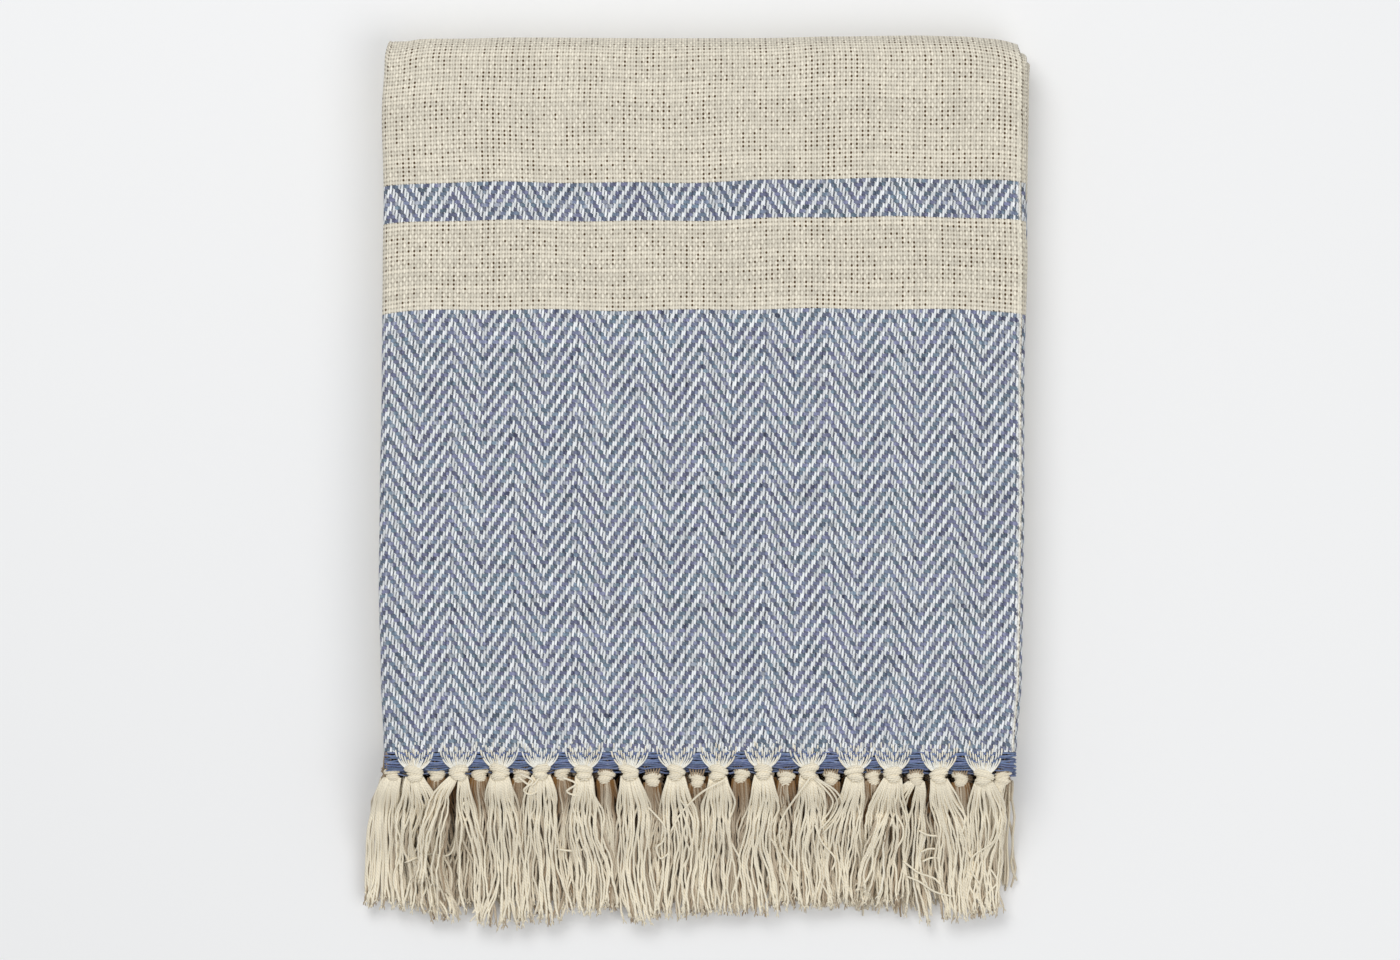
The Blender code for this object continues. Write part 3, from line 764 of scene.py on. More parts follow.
def swept_cloth(name, section, path, thick):
    """The sheet's mesh with its two maps."""
    count = len(section)
    stack = np.zeros((len(path), count, 2, 3))
    for k, (y, z, normal_y, normal_z) in enumerate(path):
        for i, ((x, h, normal_x, normal_h), _) in enumerate(section):
            for side, half in enumerate((0.5, -0.5)):
                high = h + half * thick * normal_h
                stack[k, i, side] = (x + half * thick * normal_x, y + normal_y * high, z + normal_z * high)
    step_v = np.linalg.norm(np.diff(stack, axis=0), axis=3)
    flat_v = np.concatenate((np.zeros((1, count, 2)), np.cumsum(step_v, axis=0)))
    step_u = np.linalg.norm(np.diff(stack[0], axis=0), axis=2)
    flat_u = np.concatenate((np.zeros((1, 2)), np.cumsum(step_u, axis=0)))
    points = [place(p) for p in stack.reshape(-1, 3)]
    maps = np.zeros((len(path), count, 2, 2))
    for spot in np.ndindex(len(path), count, 2):
        maps[spot] = (flat_u[spot[1:]], flat_v[spot] + droop(stack[spot][0], flat_v[spot]))
    faces, corners = [], []

    def index(k, i, side):
        return (k * count + i) * 2 + side

    def add(*spots):
        faces.append([index(*s) for s in spots])
        corners.append(spots)

    for k in range(len(path) - 1):
        for i in range(count - 1):
            add((k, i, 0), (k, i + 1, 0), (k + 1, i + 1, 0), (k + 1, i, 0))
            add((k, i + 1, 1), (k, i, 1), (k + 1, i, 1), (k + 1, i + 1, 1))
        add((k, 0, 1), (k, 0, 0), (k + 1, 0, 0), (k + 1, 0, 1))
        add((k, count - 1, 0), (k, count - 1, 1), (k + 1, count - 1, 1), (k + 1, count - 1, 0))
    last = len(path) - 1
    for i in range(count - 1):
        add((0, i, 0), (0, i, 1), (0, i + 1, 1), (0, i + 1, 0))
        add((last, i, 1), (last, i, 0), (last, i + 1, 0), (last, i + 1, 1))
    mesh = bpy.data.meshes.new(name)
    mesh.from_pydata(points, [], faces)
    flat_layer = mesh.uv_layers.new(name="flat")
    flat_layer.data.foreach_set("uv", np.array([maps[s] for spots in corners for s in spots]).ravel())
    picture = []
    for spots in corners:
        side = min(s[2] for s in spots)
        middle_u = sum(flat_u[s[1], s[2]] for s in spots) / len(spots)
        middle_v = sum(flat_v[s] for s in spots) / len(spots)
        rim = len({s[2] for s in spots}) > 1
        for s in spots:
            u, v = flat_u[s[1], s[2]], flat_v[s]
            if side == 0 and middle_u <= FACE_ACROSS:
                u = min(u, FACE_ACROSS)
                v = min(v, FACE_ALONG) if middle_v <= FACE_ALONG else max(v, FACE_ALONG + HAIR)
            elif side == 0:
                u = max(u, FACE_ACROSS + HAIR)
            picture.append(picture_place(u, v, 1 if rim else side))
    picture_layer = mesh.uv_layers.new(name="OFBake")
    picture_layer.data.foreach_set("uv", np.array(picture).ravel())
    mesh.update()
    return mesh


cloth_mesh = swept_cloth("folded_cloth", section, path, CLOTH_THICK)
cloth = put("folded_cloth", cloth_mesh)
cloth_mesh.materials.append(woven)
cloth_mesh.shade_smooth()
cloth_mesh.set_sharp_from_angle(angle=math.radians(60))
print("cloth", len(cloth_mesh.polygons) * 2, "triangles")

# %% [markdown]
# Every other piece is yarn. A length of yarn is a thin tube along a path, and hundreds of them are joined
# into one mesh as they are made, which is far quicker than hundreds of objects. Map "yarn" holds how far
# round and how far along a point lies, and map "tone" holds a draw for each yarn and how bright it is
# painted: painted light and shade, dark for yarn deep in the fringe and light for yarn on top.

# %% Lengths of yarn
YARN_THICK = 1.38 * MM
PAINTED_LIGHT_RATE = 1.7


class Yarns:
    """Collects lengths of yarn for one mesh."""

    def __init__(self):
        self.points, self.faces, self.yarn, self.tone, self.total = [], [], [], [], 0

    def add(self, path, thick, sides, draw, bright, across=(0.0, 0.0, 1.0), flat=1.0, tip=0.75):
        """One length along a path of frame points. Across is a way that the path never takes.

        Bright is its painted light and shade, a number, or a pair for the two ends of the length."""
        path = np.asarray(path, float)
        count = len(path)
        way = np.gradient(path, axis=0)
        way /= np.linalg.norm(way, axis=1)[:, None]
        first = np.cross(np.array(across), way)
        first /= np.linalg.norm(first, axis=1)[:, None]
        second = np.cross(way, first)
        radius = np.full(count, thick / 2)
        radius[-1] *= tip
        angles = np.arange(sides) / sides * 2 * math.pi
        cosines, sines = np.cos(angles)[None, :, None], np.sin(angles)[None, :, None]
        ring = cosines * first[:, None] + flat * sines * second[:, None]
        verts = path[:, None] + ring * radius[:, None, None]
        self.points.append(verts.reshape(-1, 3))
        k, s = np.meshgrid(np.arange(count - 1), np.arange(sides), indexing="ij")
        after = (s + 1) % sides
        ring_low, ring_high = k * sides, (k + 1) * sides
        quads = np.stack((ring_low + s, ring_low + after, ring_high + after, ring_high + s), -1)
        self.faces.extend((quads.reshape(-1, 4) + self.total).tolist())
        far = np.concatenate(([0.0], np.cumsum(np.linalg.norm(np.diff(path, axis=0), axis=1))))
        round_low, round_high = s / sides, (s + 1) / sides
        corners = np.stack(
            (round_low, far[k], round_high, far[k], round_high, far[k + 1], round_low, far[k + 1]), -1
        )
        self.yarn.append(corners.reshape(-1))
        for start, turned in ((0, -1), ((count - 1) * sides, 1)):
            self.faces.append([self.total + start + i for i in range(sides)][::turned])
            self.yarn.append(np.tile((0.5, far[0 if start == 0 else -1]), sides))
        near, tip_end = bright if isinstance(bright, tuple) else (bright, bright)
        share = np.minimum(1.0, far / far[-1] * PAINTED_LIGHT_RATE)
        lit = near + (tip_end - near) * share * share * (3.0 - 2.0 * share)
        lit = np.stack((lit[k], lit[k], lit[k + 1], lit[k + 1]), -1).reshape(-1)
        lit = np.concatenate((lit, np.full(sides, near), np.full(sides, tip_end)))
        self.tone.append(np.stack((np.full(len(lit), draw), lit), -1).reshape(-1))
        self.total += count * sides

    def finish(self, name, material):
        """The one object that holds all the lengths."""
        mesh = bpy.data.meshes.new(name)
        mesh.from_pydata(np.concatenate(self.points), [], self.faces)
        mesh.uv_layers.new(name="yarn").data.foreach_set("uv", np.concatenate(self.yarn))
        mesh.uv_layers.new(name="tone").data.foreach_set("uv", np.concatenate(self.tone))
        mesh.shade_smooth()
        mesh.materials.append(material)
        print(name, sum(len(f) - 2 for f in self.faces), "triangles")
        return put(name, mesh)


# %% [markdown]
# Both yarns are plied: two threads twisted round each other. The twist shows as slanting furrows, lower
# in the bump and darkened with painted shade. Cream and blue yarn share this, so it is a group. Yarn that
# lies deep in the fringe is painted darker, a painted shade, which the tone map tells the material.

# %% The ply group and the two yarn finishes
PLY_LENGTH = 3.4 * MM
FURROW_SHADE, SLUB_SHARE, DRAW_SHARE = 0.13, 0.26, 0.10
# Painted shade and light of the tassel yarn: a shade tan for yarn deep in the fringe, a lit white for the
# most lit
SHADE_TAN = srgb(126, 90, 47)
TASSEL_CREAM = srgb(251, 241, 218)
TASSEL_LIT_WHITE = srgb(248, 247, 240)
HEADER_BLUE = srgb(124, 145, 198)

ply, (around, along, draw), result = new_group(
    "plied twist", {"Round": 0.0, "Along": 0.0, "Draw": 0.0}, ("Furrow", "Slub")
)
twist = ((around * 2.0 + along * (2.0 / PLY_LENGTH) + draw) * (2 * HALF_TURN)).sine()
feed(ply, result.inputs["Furrow"], twist.rise(-0.2, -1.0))
feed(ply, result.inputs["Slub"], cloudy(ply, along * 90.0, draw * 57.0, detail=2.0))


def yarn_material(name, colour_of):
    """A plied yarn. colour_of(tree, along, draw, bright) gives its colour before the furrows."""
    material, tree, shader = new_material(name, TASSEL_CREAM)
    around, along = read_map(tree, "yarn")
    draw, bright = read_map(tree, "tone")
    plied = use_group(tree, ply, Round=around, Along=along, Draw=draw)
    furrow, slub = (Number(tree, plied.outputs[label]) for label in ("Furrow", "Slub"))
    colour = colour_of(tree, along, draw, bright)
    # Painted shade in the twist's furrows; slubs and each yarn's draw vary the tone at random
    shade = furrow * -FURROW_SHADE + (slub - 0.5) * SLUB_SHARE + (draw - 0.5) * DRAW_SHARE + 1.0
    colour = blend_colours(tree, colour, vector_of(tree, shade, shade, shade), 1.0, "MULTIPLY")
    fibres = use_group(tree, cotton, Colour=colour, Across=around * 0.004, Along=along, Unevenness=0.12)
    tree.links.new(fibres.outputs["Colour"], shader.inputs["Base Color"])
    relief = furrow * -1.0 + Number(tree, fibres.outputs["Fuzz"]) * 0.35
    bump(tree, shader, relief, 0.14 * MM, 0.5)
    print("material", name, len(tree.nodes), "nodes")
    return material


# Painted light and shade: a low tone goes to the shade tan, a high one to the lit white
def cream_of(tree, along, draw, bright):
    lit = blend_colours(tree, SHADE_TAN, TASSEL_CREAM, bright.rise(0.0, 0.8))
    return blend_colours(tree, lit, TASSEL_LIT_WHITE, bright.rise(0.94, 0.99))


# The header floats' tone is drawn at random; dull floats blend towards the gap shade blue
def blue_of(tree, along, draw, bright):
    tint = melange(tree, along, draw * 91.0, 5.0)
    deeper = blend_colours(tree, tint, HEADER_BLUE, 0.50)
    return blend_colours(tree, GAP_SHADE_BLUE, deeper, bright.rise(0.0, 0.8))


cream_yarn = yarn_material("plied_cream_yarn", cream_of)
blue_yarn = yarn_material("plied_blue_yarn", blue_of)

# %% [markdown]
# The fringe is four folded layers deep at each end of the cloth, so there are eight rows of tassels. The
# two rows that show best have their places, leans and lengths read from the photo. The six rows under
# them reuse the same knot places, a little uneven. Heights follow the solids: straight out from the
# cloth at the knots, then down to the floor.

# %% Where the tassels are
HEADER_LONG = 7.0 * MM
HEADER_SAG = 1.6 * MM
KNOT_LONG = 7.0 * MM
LOCK_THICK = 1.1 * MM
TIP_PITCH = 1.55 * MM
LOCK_BENDS = ((15.0 * MM, 0.0), (34.0 * MM, 0.55), (60.0 * MM, 1.0))

# Each tassel (mm): where its knot is, how far it drops, how far the strands at its left and at its right
# lean, and how far they reach
TOP_ROW = (
    (16.5, 0.0, -2.5, 3.0, 70.0),
    (38.9, 0.0, -17.0, 5.0, 77.0),
    (59.7, -0.5, 1.0, 4.0, 79.0),
    (80.8, -1.0, -5.0, 3.0, 77.0),
    (102.6, 0.5, 3.0, 6.0, 72.0),
    (125.8, 0.5, 4.0, 6.5, 77.0),
    (149.4, 0.5, -1.0, 3.0, 74.0),
    (170.7, 0.5, 0.0, 2.0, 73.0),
    (193.8, -0.5, -2.0, 1.0, 73.0),
    (216.9, -0.5, 1.0, 4.0, 70.0),
    (240.3, 1.0, -9.0, -5.0, 67.0),
    (259.6, 1.5, -8.0, -3.0, 67.5),
    (283.0, 2.0, 10.0, 14.0, 74.0),
    (305.8, 3.0, 0.0, 4.0, 70.0),
)
SECOND_ROW = (
    (5.2, 1.5, -9.0, -3.5, 67.0),
    (27.6, 1.5, 0.0, 1.0, 75.0),
    (49.6, 1.5, -2.0, 3.0, 66.0),
    (70.4, 2.0, -1.0, 1.0, 72.0),
    (91.4, 1.0, -3.0, 0.0, 70.0),
    (113.6, 2.5, 1.0, 3.0, 68.0),
    (137.4, 4.0, -1.0, 1.0, 69.0),
    (160.2, 4.5, 1.0, 2.0, 68.0),
    (182.6, 2.0, 0.0, 1.0, 70.0),
    (205.4, 3.0, -1.0, 2.0, 66.0),
    (228.4, 3.5, -2.0, -1.0, 65.0),
    (249.8, 3.0, -4.0, -3.0, 64.0),
    (271.6, 3.5, -25.0, 1.0, 74.0),
    (294.2, 4.0, 5.0, 9.0, 68.0),
    (315.6, 3.0, -5.0, -9.0, 62.0),
)

# By row and number: how much shorter the left branch of a split tassel is (mm), or with a minus sign how
# much shorter the strands at its right are
SPLITS = {(7, 1): 20.0, (6, 12): 16.0, (6, 14): -20.0}
CALM_TASSELS = {(6, 0): 0.35, (6, 14): 0.5}
FULL_TASSELS = {(6, 0): 10, (7, 0): 4}
LEAN_EARLY = {(6, 0): 1.0, (6, 14): 0.9}
KNOT_OUT = 2.8 * MM

# The six rows underneath (mm): their reach, how they differ from tassel to tassel, and the last ones
HIDDEN_REACH = 66.0
HIDDEN_SWAY = 1.6
HIDDEN_RAG = 4.0
HIDDEN_ASIDE = 2.4
LAST_KNOT = 300.0
HIDDEN_END_LEAN = 6.0
HIDDEN_END_SHORT = 5.0


def header_sag(x):
    """How far the weft of the header hangs down at a place across it, most at its two ends."""
    share = (x - OUTLINE_LEFT) / (OUTLINE_RIGHT - OUTLINE_LEFT)
    return HEADER_SAG * (2 * share - 1) ** 4


def hidden_row(row):
    """The tassels of a covered row, whose knots lie under those of the top row or of the second one."""
    found = []
    for i, (knot, drop, *_) in enumerate(TOP_ROW if row % 2 else SECOND_ROW):
        lean = HIDDEN_SWAY * math.sin(2.1 * i + 1.7 * row)
        reach = HIDDEN_REACH + HIDDEN_RAG * math.sin(1.3 * i + 2.9 * row)
        aside = HIDDEN_ASIDE * math.sin(2.7 * i + 1.1 * row)
        if knot > LAST_KNOT:
            lean, reach = lean - HIDDEN_END_LEAN, reach - HIDDEN_END_SHORT
        found.append((knot + aside, drop + 1.0 + math.sin(1.9 * i + row), lean - 0.5, lean + 0.5, reach))
    return found


def tassels_of(row):
    """A row's tassels as named values in metres. Row 7 is the top one, and row 0 lies on the floor."""
    table = {7: TOP_ROW, 6: SECOND_ROW}.get(row) or hidden_row(row)
    names = ("knot", "drop", "lean_left", "lean_right", "reach")
    found = []
    for number, line in enumerate(table):
        tassel = {name: value * MM for name, value in zip(names, line)}
        across = tassel["knot"] / (OUTLINE_RIGHT - OUTLINE_LEFT)
        tassel["knot"] += OUTLINE_LEFT - side_shift(across, 0.0)
        tassel["drop"] = max(tassel["drop"], header_sag(tassel["knot"]))
        tassel["out"] = HEADER_LONG + tassel["drop"] + KNOT_OUT
        tassel["tip"] = HEADER_LONG + tassel["drop"] + KNOT_LONG / 2 + tassel["reach"]
        tassel["row"], tassel["number"] = row, number
        tassel["split"] = SPLITS.get((row, number), 0.0) * MM
        tassel["calm"] = CALM_TASSELS.get((row, number), 1.0)
        tassel["more"] = FULL_TASSELS.get((row, number), 0)
        tassel["early"] = LEAN_EARLY.get((row, number), 0.3)
        found.append(tassel)
    return found


def row_height(row, out):
    """The height of a row's middle at a distance in front of the cloth's edge."""
    start = 2 * PACKET_PITCH + (row + 0.5) * LAYER_PITCH
    tip = FLOOR + LOCK_THICK / 2 + row * TIP_PITCH
    fall = 0.0
    for (near, fall_near), (far, fall_far) in zip(LOCK_BENDS, LOCK_BENDS[1:]):
        if out > near:
            fall = fall_near + (fall_far - fall_near) * smooth(min(1.0, (out - near) / (far - near)))
    return start + (tip - start) * fall


ROWS = {row: tassels_of(row) for row in range(8)}
print("tassels", {row: len(tassels) for row, tassels in ROWS.items()})

# %% [markdown]
# At the header the weaver threw eight more picks with nothing to hold them, and the tassels gather them:
# they are pinched at each knot and hang in shallow curves between. They follow the cloth's folded width.

# %% The loose blue weft of the header
FLOATS = 8
FLOAT_FIRST = 0.4 * MM
FLOAT_PITCH = 0.94 * MM
FLOAT_THICK = 1.06 * MM
FLOAT_HANG = 1.2 * MM
FLOAT_DRAW = (0.85, 1.1)
FLOAT_LIFT = 0.12
FLOAT_DULL = 0.58
UNDER_HEADER = 1.32
PINCH = 7.5 * MM
HEADER_CUTS = (84, 48, 48, 48)

# The waves of a float: how far, radians in a metre, and how many times its own phase
SLOW_WAVE, QUICK_WAVE, UP_WAVE = (0.30 * MM, 420, 1), (0.20 * MM, 1130, 2), (0.15 * MM, 610, 3)

# The height of each end's middle, whether it faces up, and the rows of its layers from the top selvedge's
FACINGS = {"a": (3.5 * PACKET_PITCH, 1.0, (7, 6, 5, 4)), "b": (2.5 * PACKET_PITCH, -1.0, (0, 1, 2, 3))}


def to_nearest_knot(x, row):
    return min(abs(x - tassel["knot"]) for tassel in ROWS[row])


def wobble(wave, x, phase):
    """How far one wave carries a float at a place across it."""
    far, rate, times = wave
    return far * math.sin(x * rate + times * phase)


def header_of(end_name):
    """The blue floats of one end."""
    level, facing, rows = FACINGS[end_name]
    draws = random.Random(f"header {end_name}")
    stations = width_section(HEADER_CUTS)
    yarns = Yarns()
    for number in range(FLOATS):
        base = FLOAT_FIRST + number * FLOAT_PITCH
        share = (number + 1) / FLOATS
        phase, lift = draws.uniform(0, 6), draws.uniform(-FLOAT_LIFT, FLOAT_LIFT) * MM
        path, row = [], rows[0]
        for (x, h, _, _), layer in stations:
            row = row if layer is None else rows[layer]
            hang = FLOAT_HANG * share * smooth(to_nearest_knot(x, row) / PINCH)
            uneven = wobble(SLOW_WAVE, x, phase) + wobble(QUICK_WAVE, x, phase)
            out = (base + hang) * (1.0 if row == 7 else UNDER_HEADER) + uneven + header_sag(x) * share
            high = level + facing * h + lift + wobble(UP_WAVE, x, phase)
            path.append(place((x, -out, high)))
        bright = 1.0 - FLOAT_DULL * draws.random()
        thick = FLOAT_THICK * draws.uniform(*FLOAT_DRAW)
        yarns.add(path, thick, 5, draws.random(), bright, across=(0, 1, 0), tip=0.8)
    return yarns.finish(f"header_weft_{end_name}", blue_yarn)


headers = {name: header_of(name) for name in FACINGS}

# %% [markdown]
# Each tassel takes sixteen warp ends. They leave the cloth side by side, still weave over and under the
# blue floats, and then lean together like the petals of a tulip. Thin, well parted ends let the blue
# show between them.

# %% Fans of warp ends over the header
ROW_DETAIL = {
    # row: ends in a fan, strands in a tassel, steps along a strand, sides of a yarn
    7: {"fan": 16, "strands": 26, "steps": 36, "sides": 5},
    6: {"fan": 6, "strands": 25, "steps": 30, "sides": 5},
    5: {"fan": 5, "strands": 18, "steps": 16, "sides": 4},
    4: {"fan": 5, "strands": 15, "steps": 14, "sides": 4},
}
PLAIN_DETAIL = {"fan": 5, "strands": 12, "steps": 11, "sides": 4}
# How light the knots, fans and strands of each row are painted, from 0, the shade tan, to 1, the lit white:
# painted shade for yarn deep in the fringe, near the knots and under other strands, and painted light for
# yarn on top, at the ends of the rows and in the middle of a second-row tassel
KNOT_PAINTED_LIGHT = {7: 0.78, 6: 0.64, 5: 0.40}
PLAIN_KNOT_PAINTED_LIGHT = 0.25
STRAND_PAINTED_LIGHT = {7: (0.92, 0.82), 6: (0.12, 0.68), 5: (0.0, 0.60), 4: (0.0, 0.60)}
PLAIN_STRAND_PAINTED_LIGHT = (0.0, 0.72)
UNDER_TIP_SHADE = {7: 0.34, 6: 0.34}
PLAIN_UNDER_TIP_SHADE = 0.14
EDGE_PAINTED_LIGHT = (0.66, 0.78)
SECOND_CROWN_LIGHT = {6: 0.20}
PAINTED_LIGHT_TASSELS = {(6, 0): (0.82, 0.82), (6, 12): (0.80, 0.84), (6, 14): (0.74, 0.80)}
FAN_WIDE = 20.5 * MM
FAN_INTO_KNOT = 6.4 * MM
FAN_END_THICK = 0.92 * MM
FAN_STEPS = 24
FAN_FLOAT = 5.4 * MM
FAN_FROM = -7.6 * MM
FAN_LIMITS = (LEFT - 3.0 * MM, RIGHT - 0.5 * MM)
FAN_LIFT = 0.5
FAN_DRAW = 0.35
FAN_PAINTED_LIGHT, FAN_BRIGHT_DRAW = 0.95, 0.05
ANY_PHASE = (0, 6.3)

# A knot's height, and the shares of it from its middle to where the fan ends and the strands begin
KNOT_HIGH = 7.4 * MM
FAN_INTO, STRAND_OUT_OF = 0.25, 0.26

# Where an end comes out of the cloth (mm), how much sooner at the sides of the fan, and how softly
OUT_FROM, OUT_SOONER, OUT_SOFT = (-5.5, 0.2), 1.2, 1.2 * MM

# How late an end leans to the knot: in the middle, more at the sides, and by chance
PETAL, PETAL_SIDE, PETAL_DRAW = 1.9, 2.2, 0.3

# How far an end rises and dips over the floats (mm), where it settles into the knot, and how high there
OVER_AND_UNDER, PHASE_DRAW, GATHERED, INTO_KNOT_HIGH = 1.05, 0.4, (0.62, 0.30), 0.9


def fan_of(yarns, tassel, detail, draws, facing):
    """The warp ends between the cloth's edge and the knot."""
    level = row_height(tassel["row"], 0.0) + facing * FAN_LIFT * MM
    out_knot = tassel["out"] - KNOT_HIGH * FAN_INTO
    ends, first_phase = detail["fan"], draws.uniform(*ANY_PHASE)
    for i in range(ends):
        side = (i + 0.5) / ends * 2 - 1
        start = tassel["knot"] + side * FAN_WIDE / 2 + draws.uniform(-FAN_DRAW, FAN_DRAW) * MM
        start = min(FAN_LIMITS[1], max(FAN_LIMITS[0], start))
        goal = tassel["knot"] + side * FAN_INTO_KNOT / 2
        comes_out = (draws.uniform(*OUT_FROM) - OUT_SOONER * side * side) * MM
        curve = 1.0
        if tassel["row"] == 7:
            curve = PETAL + PETAL_SIDE * abs(side) + draws.uniform(-PETAL_DRAW, PETAL_DRAW)
        phase = first_phase + abs(i - ends / 2) * HALF_TURN / 2 + draws.uniform(-PHASE_DRAW, PHASE_DRAW)
        path = []
        for step in range(FAN_STEPS + 1):
            t = step / FAN_STEPS
            out = FAN_FROM + (out_knot - FAN_FROM) * t
            x = start + (goal - start) * t**curve
            gathered = smooth((t - GATHERED[0]) / GATHERED[1])
            over = OVER_AND_UNDER * math.sin(phase + 2 * HALF_TURN * out / FAN_FLOAT)
            over = over + (INTO_KNOT_HIGH - over) * gathered
            over = -FAN_LIFT + (over + FAN_LIFT) * smooth((out - comes_out) / OUT_SOFT)
            path.append(place((x, -out, level + over * MM)))
        # Painted light: the top row's fans are painted near the lit white, the other rows' fans in deep
        # painted shade
        bright = PLAIN_KNOT_PAINTED_LIGHT
        if tassel["row"] == 7:
            bright = FAN_PAINTED_LIGHT + FAN_BRIGHT_DRAW * draws.random()
        yarns.add(path, FAN_END_THICK, detail["sides"], draws.random(), bright)


print("a fan of the top row has", ROW_DETAIL[7]["fan"], "ends")

# %% [markdown]
# An overhand knot in so thick a bundle shows two bands of yarn: one wide band laid slantwise over a
# smaller one, which bulges out below it. Each band here is a few rings of yarn round the bundle, largest
# in the middle of the band, so the knot is plump and its furrows are real.

# %% Knots
KNOT_WIDE = {7: 10.6 * MM, 6: 9.6 * MM}
KNOT_THICK = {7: 6.8 * MM, 6: 5.0 * MM}
HIDDEN_KNOT = (8.8 * MM, 3.8 * MM)
KNOT_LIFT = {7: 0.6 * MM, 6: -0.5 * MM}
KNOT_WIDE_DRAW, KNOT_THICK_DRAW, KNOT_BRIGHT_DRAW = (0.92, 1.06), (0.95, 1.05), (-0.03, 0.05)
KNOT_SLANT = (0.10, 0.30)
KNOT_SHIFT = 0.5
RING_STEPS, HIDDEN_RING_STEPS = 18, 10
RING_BEND = (0.1, 0.9)
RING_THICK = 1.5
BAND_END = 0.58
CORE_WIDE, CORE_FLAT = 0.66, 0.6
KNOT_BANDS = (
    # from the knot's middle (mm), rings, height (mm), share of the width, taper, share of the slant
    (-1.60, 5, 4.0, 1.00, 0.04, 1.00),
    (1.70, 5, 4.1, 0.90, 0.34, -0.55),
)


def knot_of(yarns, tassel, detail, draws):
    """The overhand knot: two bands of rings, slanted opposite ways, round a core."""
    row = tassel["row"]
    wide = KNOT_WIDE.get(row, HIDDEN_KNOT[0]) * draws.uniform(*KNOT_WIDE_DRAW)
    thick = KNOT_THICK.get(row, HIDDEN_KNOT[1]) * draws.uniform(*KNOT_THICK_DRAW)
    slant = draws.choice((-1, 1)) * draws.uniform(*KNOT_SLANT)
    shift = draws.uniform(-KNOT_SHIFT, KNOT_SHIFT) * MM
    level = row_height(row, tassel["out"]) + KNOT_LIFT.get(row, 0.0)
    # Painted shade: the knots of deeper rows are painted darker
    usual_bright = KNOT_PAINTED_LIGHT.get(row, PLAIN_KNOT_PAINTED_LIGHT)
    steps = RING_STEPS if row >= 6 else HIDDEN_RING_STEPS
    for away, rings, high, wide_share, taper, slant_share in KNOT_BANDS:
        pitch = high * MM / rings
        for i in range(rings):
            place_in = (i - (rings - 1) / 2) * pitch
            plump = math.sqrt(1 - (place_in / (high * MM * BAND_END)) ** 2) * (1 - taper * i / (rings - 1))
            half = wide / 2 * wide_share * plump - pitch * 0.5
            deep = thick / 2 * plump - pitch * 0.5
            bend = draws.uniform(*RING_BEND) * MM
            middle = tassel["out"] + away * MM + place_in
            path = []
            for step in range(steps + 1):
                angle = 2 * math.pi * step / steps - math.pi / 2
                x = math.cos(angle)
                out = middle + slant * slant_share * x * half + bend * x * x
                sway = shift * math.copysign(1, away)
                path.append(place((tassel["knot"] + sway + x * half, -out, level + math.sin(angle) * deep)))
            bright = usual_bright + draws.uniform(*KNOT_BRIGHT_DRAW)
            yarns.add(path, pitch * RING_THICK, detail["sides"], draws.random(), bright, (0, 1, 0), tip=1.0)
    outs = (tassel["out"] + share * KNOT_HIGH for share in (-0.4, 0, 0.4))
    core = [place((tassel["knot"], -out, level)) for out in outs]
    yarns.add(core, wide * CORE_WIDE, 8, draws.random(), usual_bright, flat=CORE_FLAT)


print("a knot has", sum(band[1] for band in KNOT_BANDS), "rings")

# %% [markdown]
# Below the knot the ends swell into a barrel and then hang side by side to uneven tips. They aren't
# straight: three or four neighbours sway as one, each has its own waves, and the crimp that the weave
# pressed into it shows as small kinks. A few strands stray, cross or curl up, and those are listed one by
# one.

# %% Strands and strays
STRAND_START = 4.3 * MM
STRAND_SPREAD = {7: 7.6 * MM, 6: 5.8 * MM}
HIDDEN_SPREAD = 7.5 * MM
TIP_SPREAD = 1.8 * MM
CLUMP = 4
GATHER = 0.34
STRAYING = 0.14
BULGE = {7: 3.4 * MM, 6: 1.4 * MM}
FRAY = 2.6 * MM
UNDER_DROP = 1.1 * MM
# The strays' thickness, and their painted light as yarn on top
STRAY_THICK, STRAY_PAINTED_LIGHT = 0.80 * YARN_THICK, 0.84

# How uneven the tips are (mm), and how much shorter the strands at the two sides are
TIP_DRAW, TIP_ROUND = (-4.5, 1.8), 2.0

# The sizes of a strand's waves (mm) and how many there are in its length
CLUMP_WAVE = ((0.6, 1.5), (0.8, 1.8))
OWN_WAVE, STRAY_WAVE, OWN_RATES = (0.28, 0.72), (1.1, 2.2), (1.3, 3.2)
KINKS = ((0.08, 0.22), (7.0, 12.0))
CURL, CURL_FROM, CURL_OVER = (0.5, 3.4), 0.78, 0.22
RIPPLE, RIPPLE_TURN = (0.1, 0.35), 9.0
LEAN_LATE = 1.3
CLUMP_FROM, CLUMP_OVER = 0.35, 0.6
SETTLED = 0.1
WAIST, WAIST_TURN = 0.12, 5.0

# How much of the barrel's bulge is lost at the tip and at the sides, and how the branch of a split
# tassel rises over its neighbours
BULGE_FALL, BULGE_ROUND = 0.75, 0.85
SPLIT_RISE, SPLIT_FROM, SPLIT_OVER = 0.42, 0.15, 0.3

# 1 for the under strands and 0 for the upper ones, with their shares
STRAND_LAYERS = ((1, 0.45), (0, 0.55))
SIDE_DRAW = 0.06
THICK_DRAW = (0.80, 1.02)
# A strand's own tone, drawn at random, the painted shade of the under strands, and the most painted light
# at a knot
OWN_SHADE = (-0.22, 0.12)
UNDER_SHADE = 0.16
PAINTED_LIGHT_MOST = 0.92

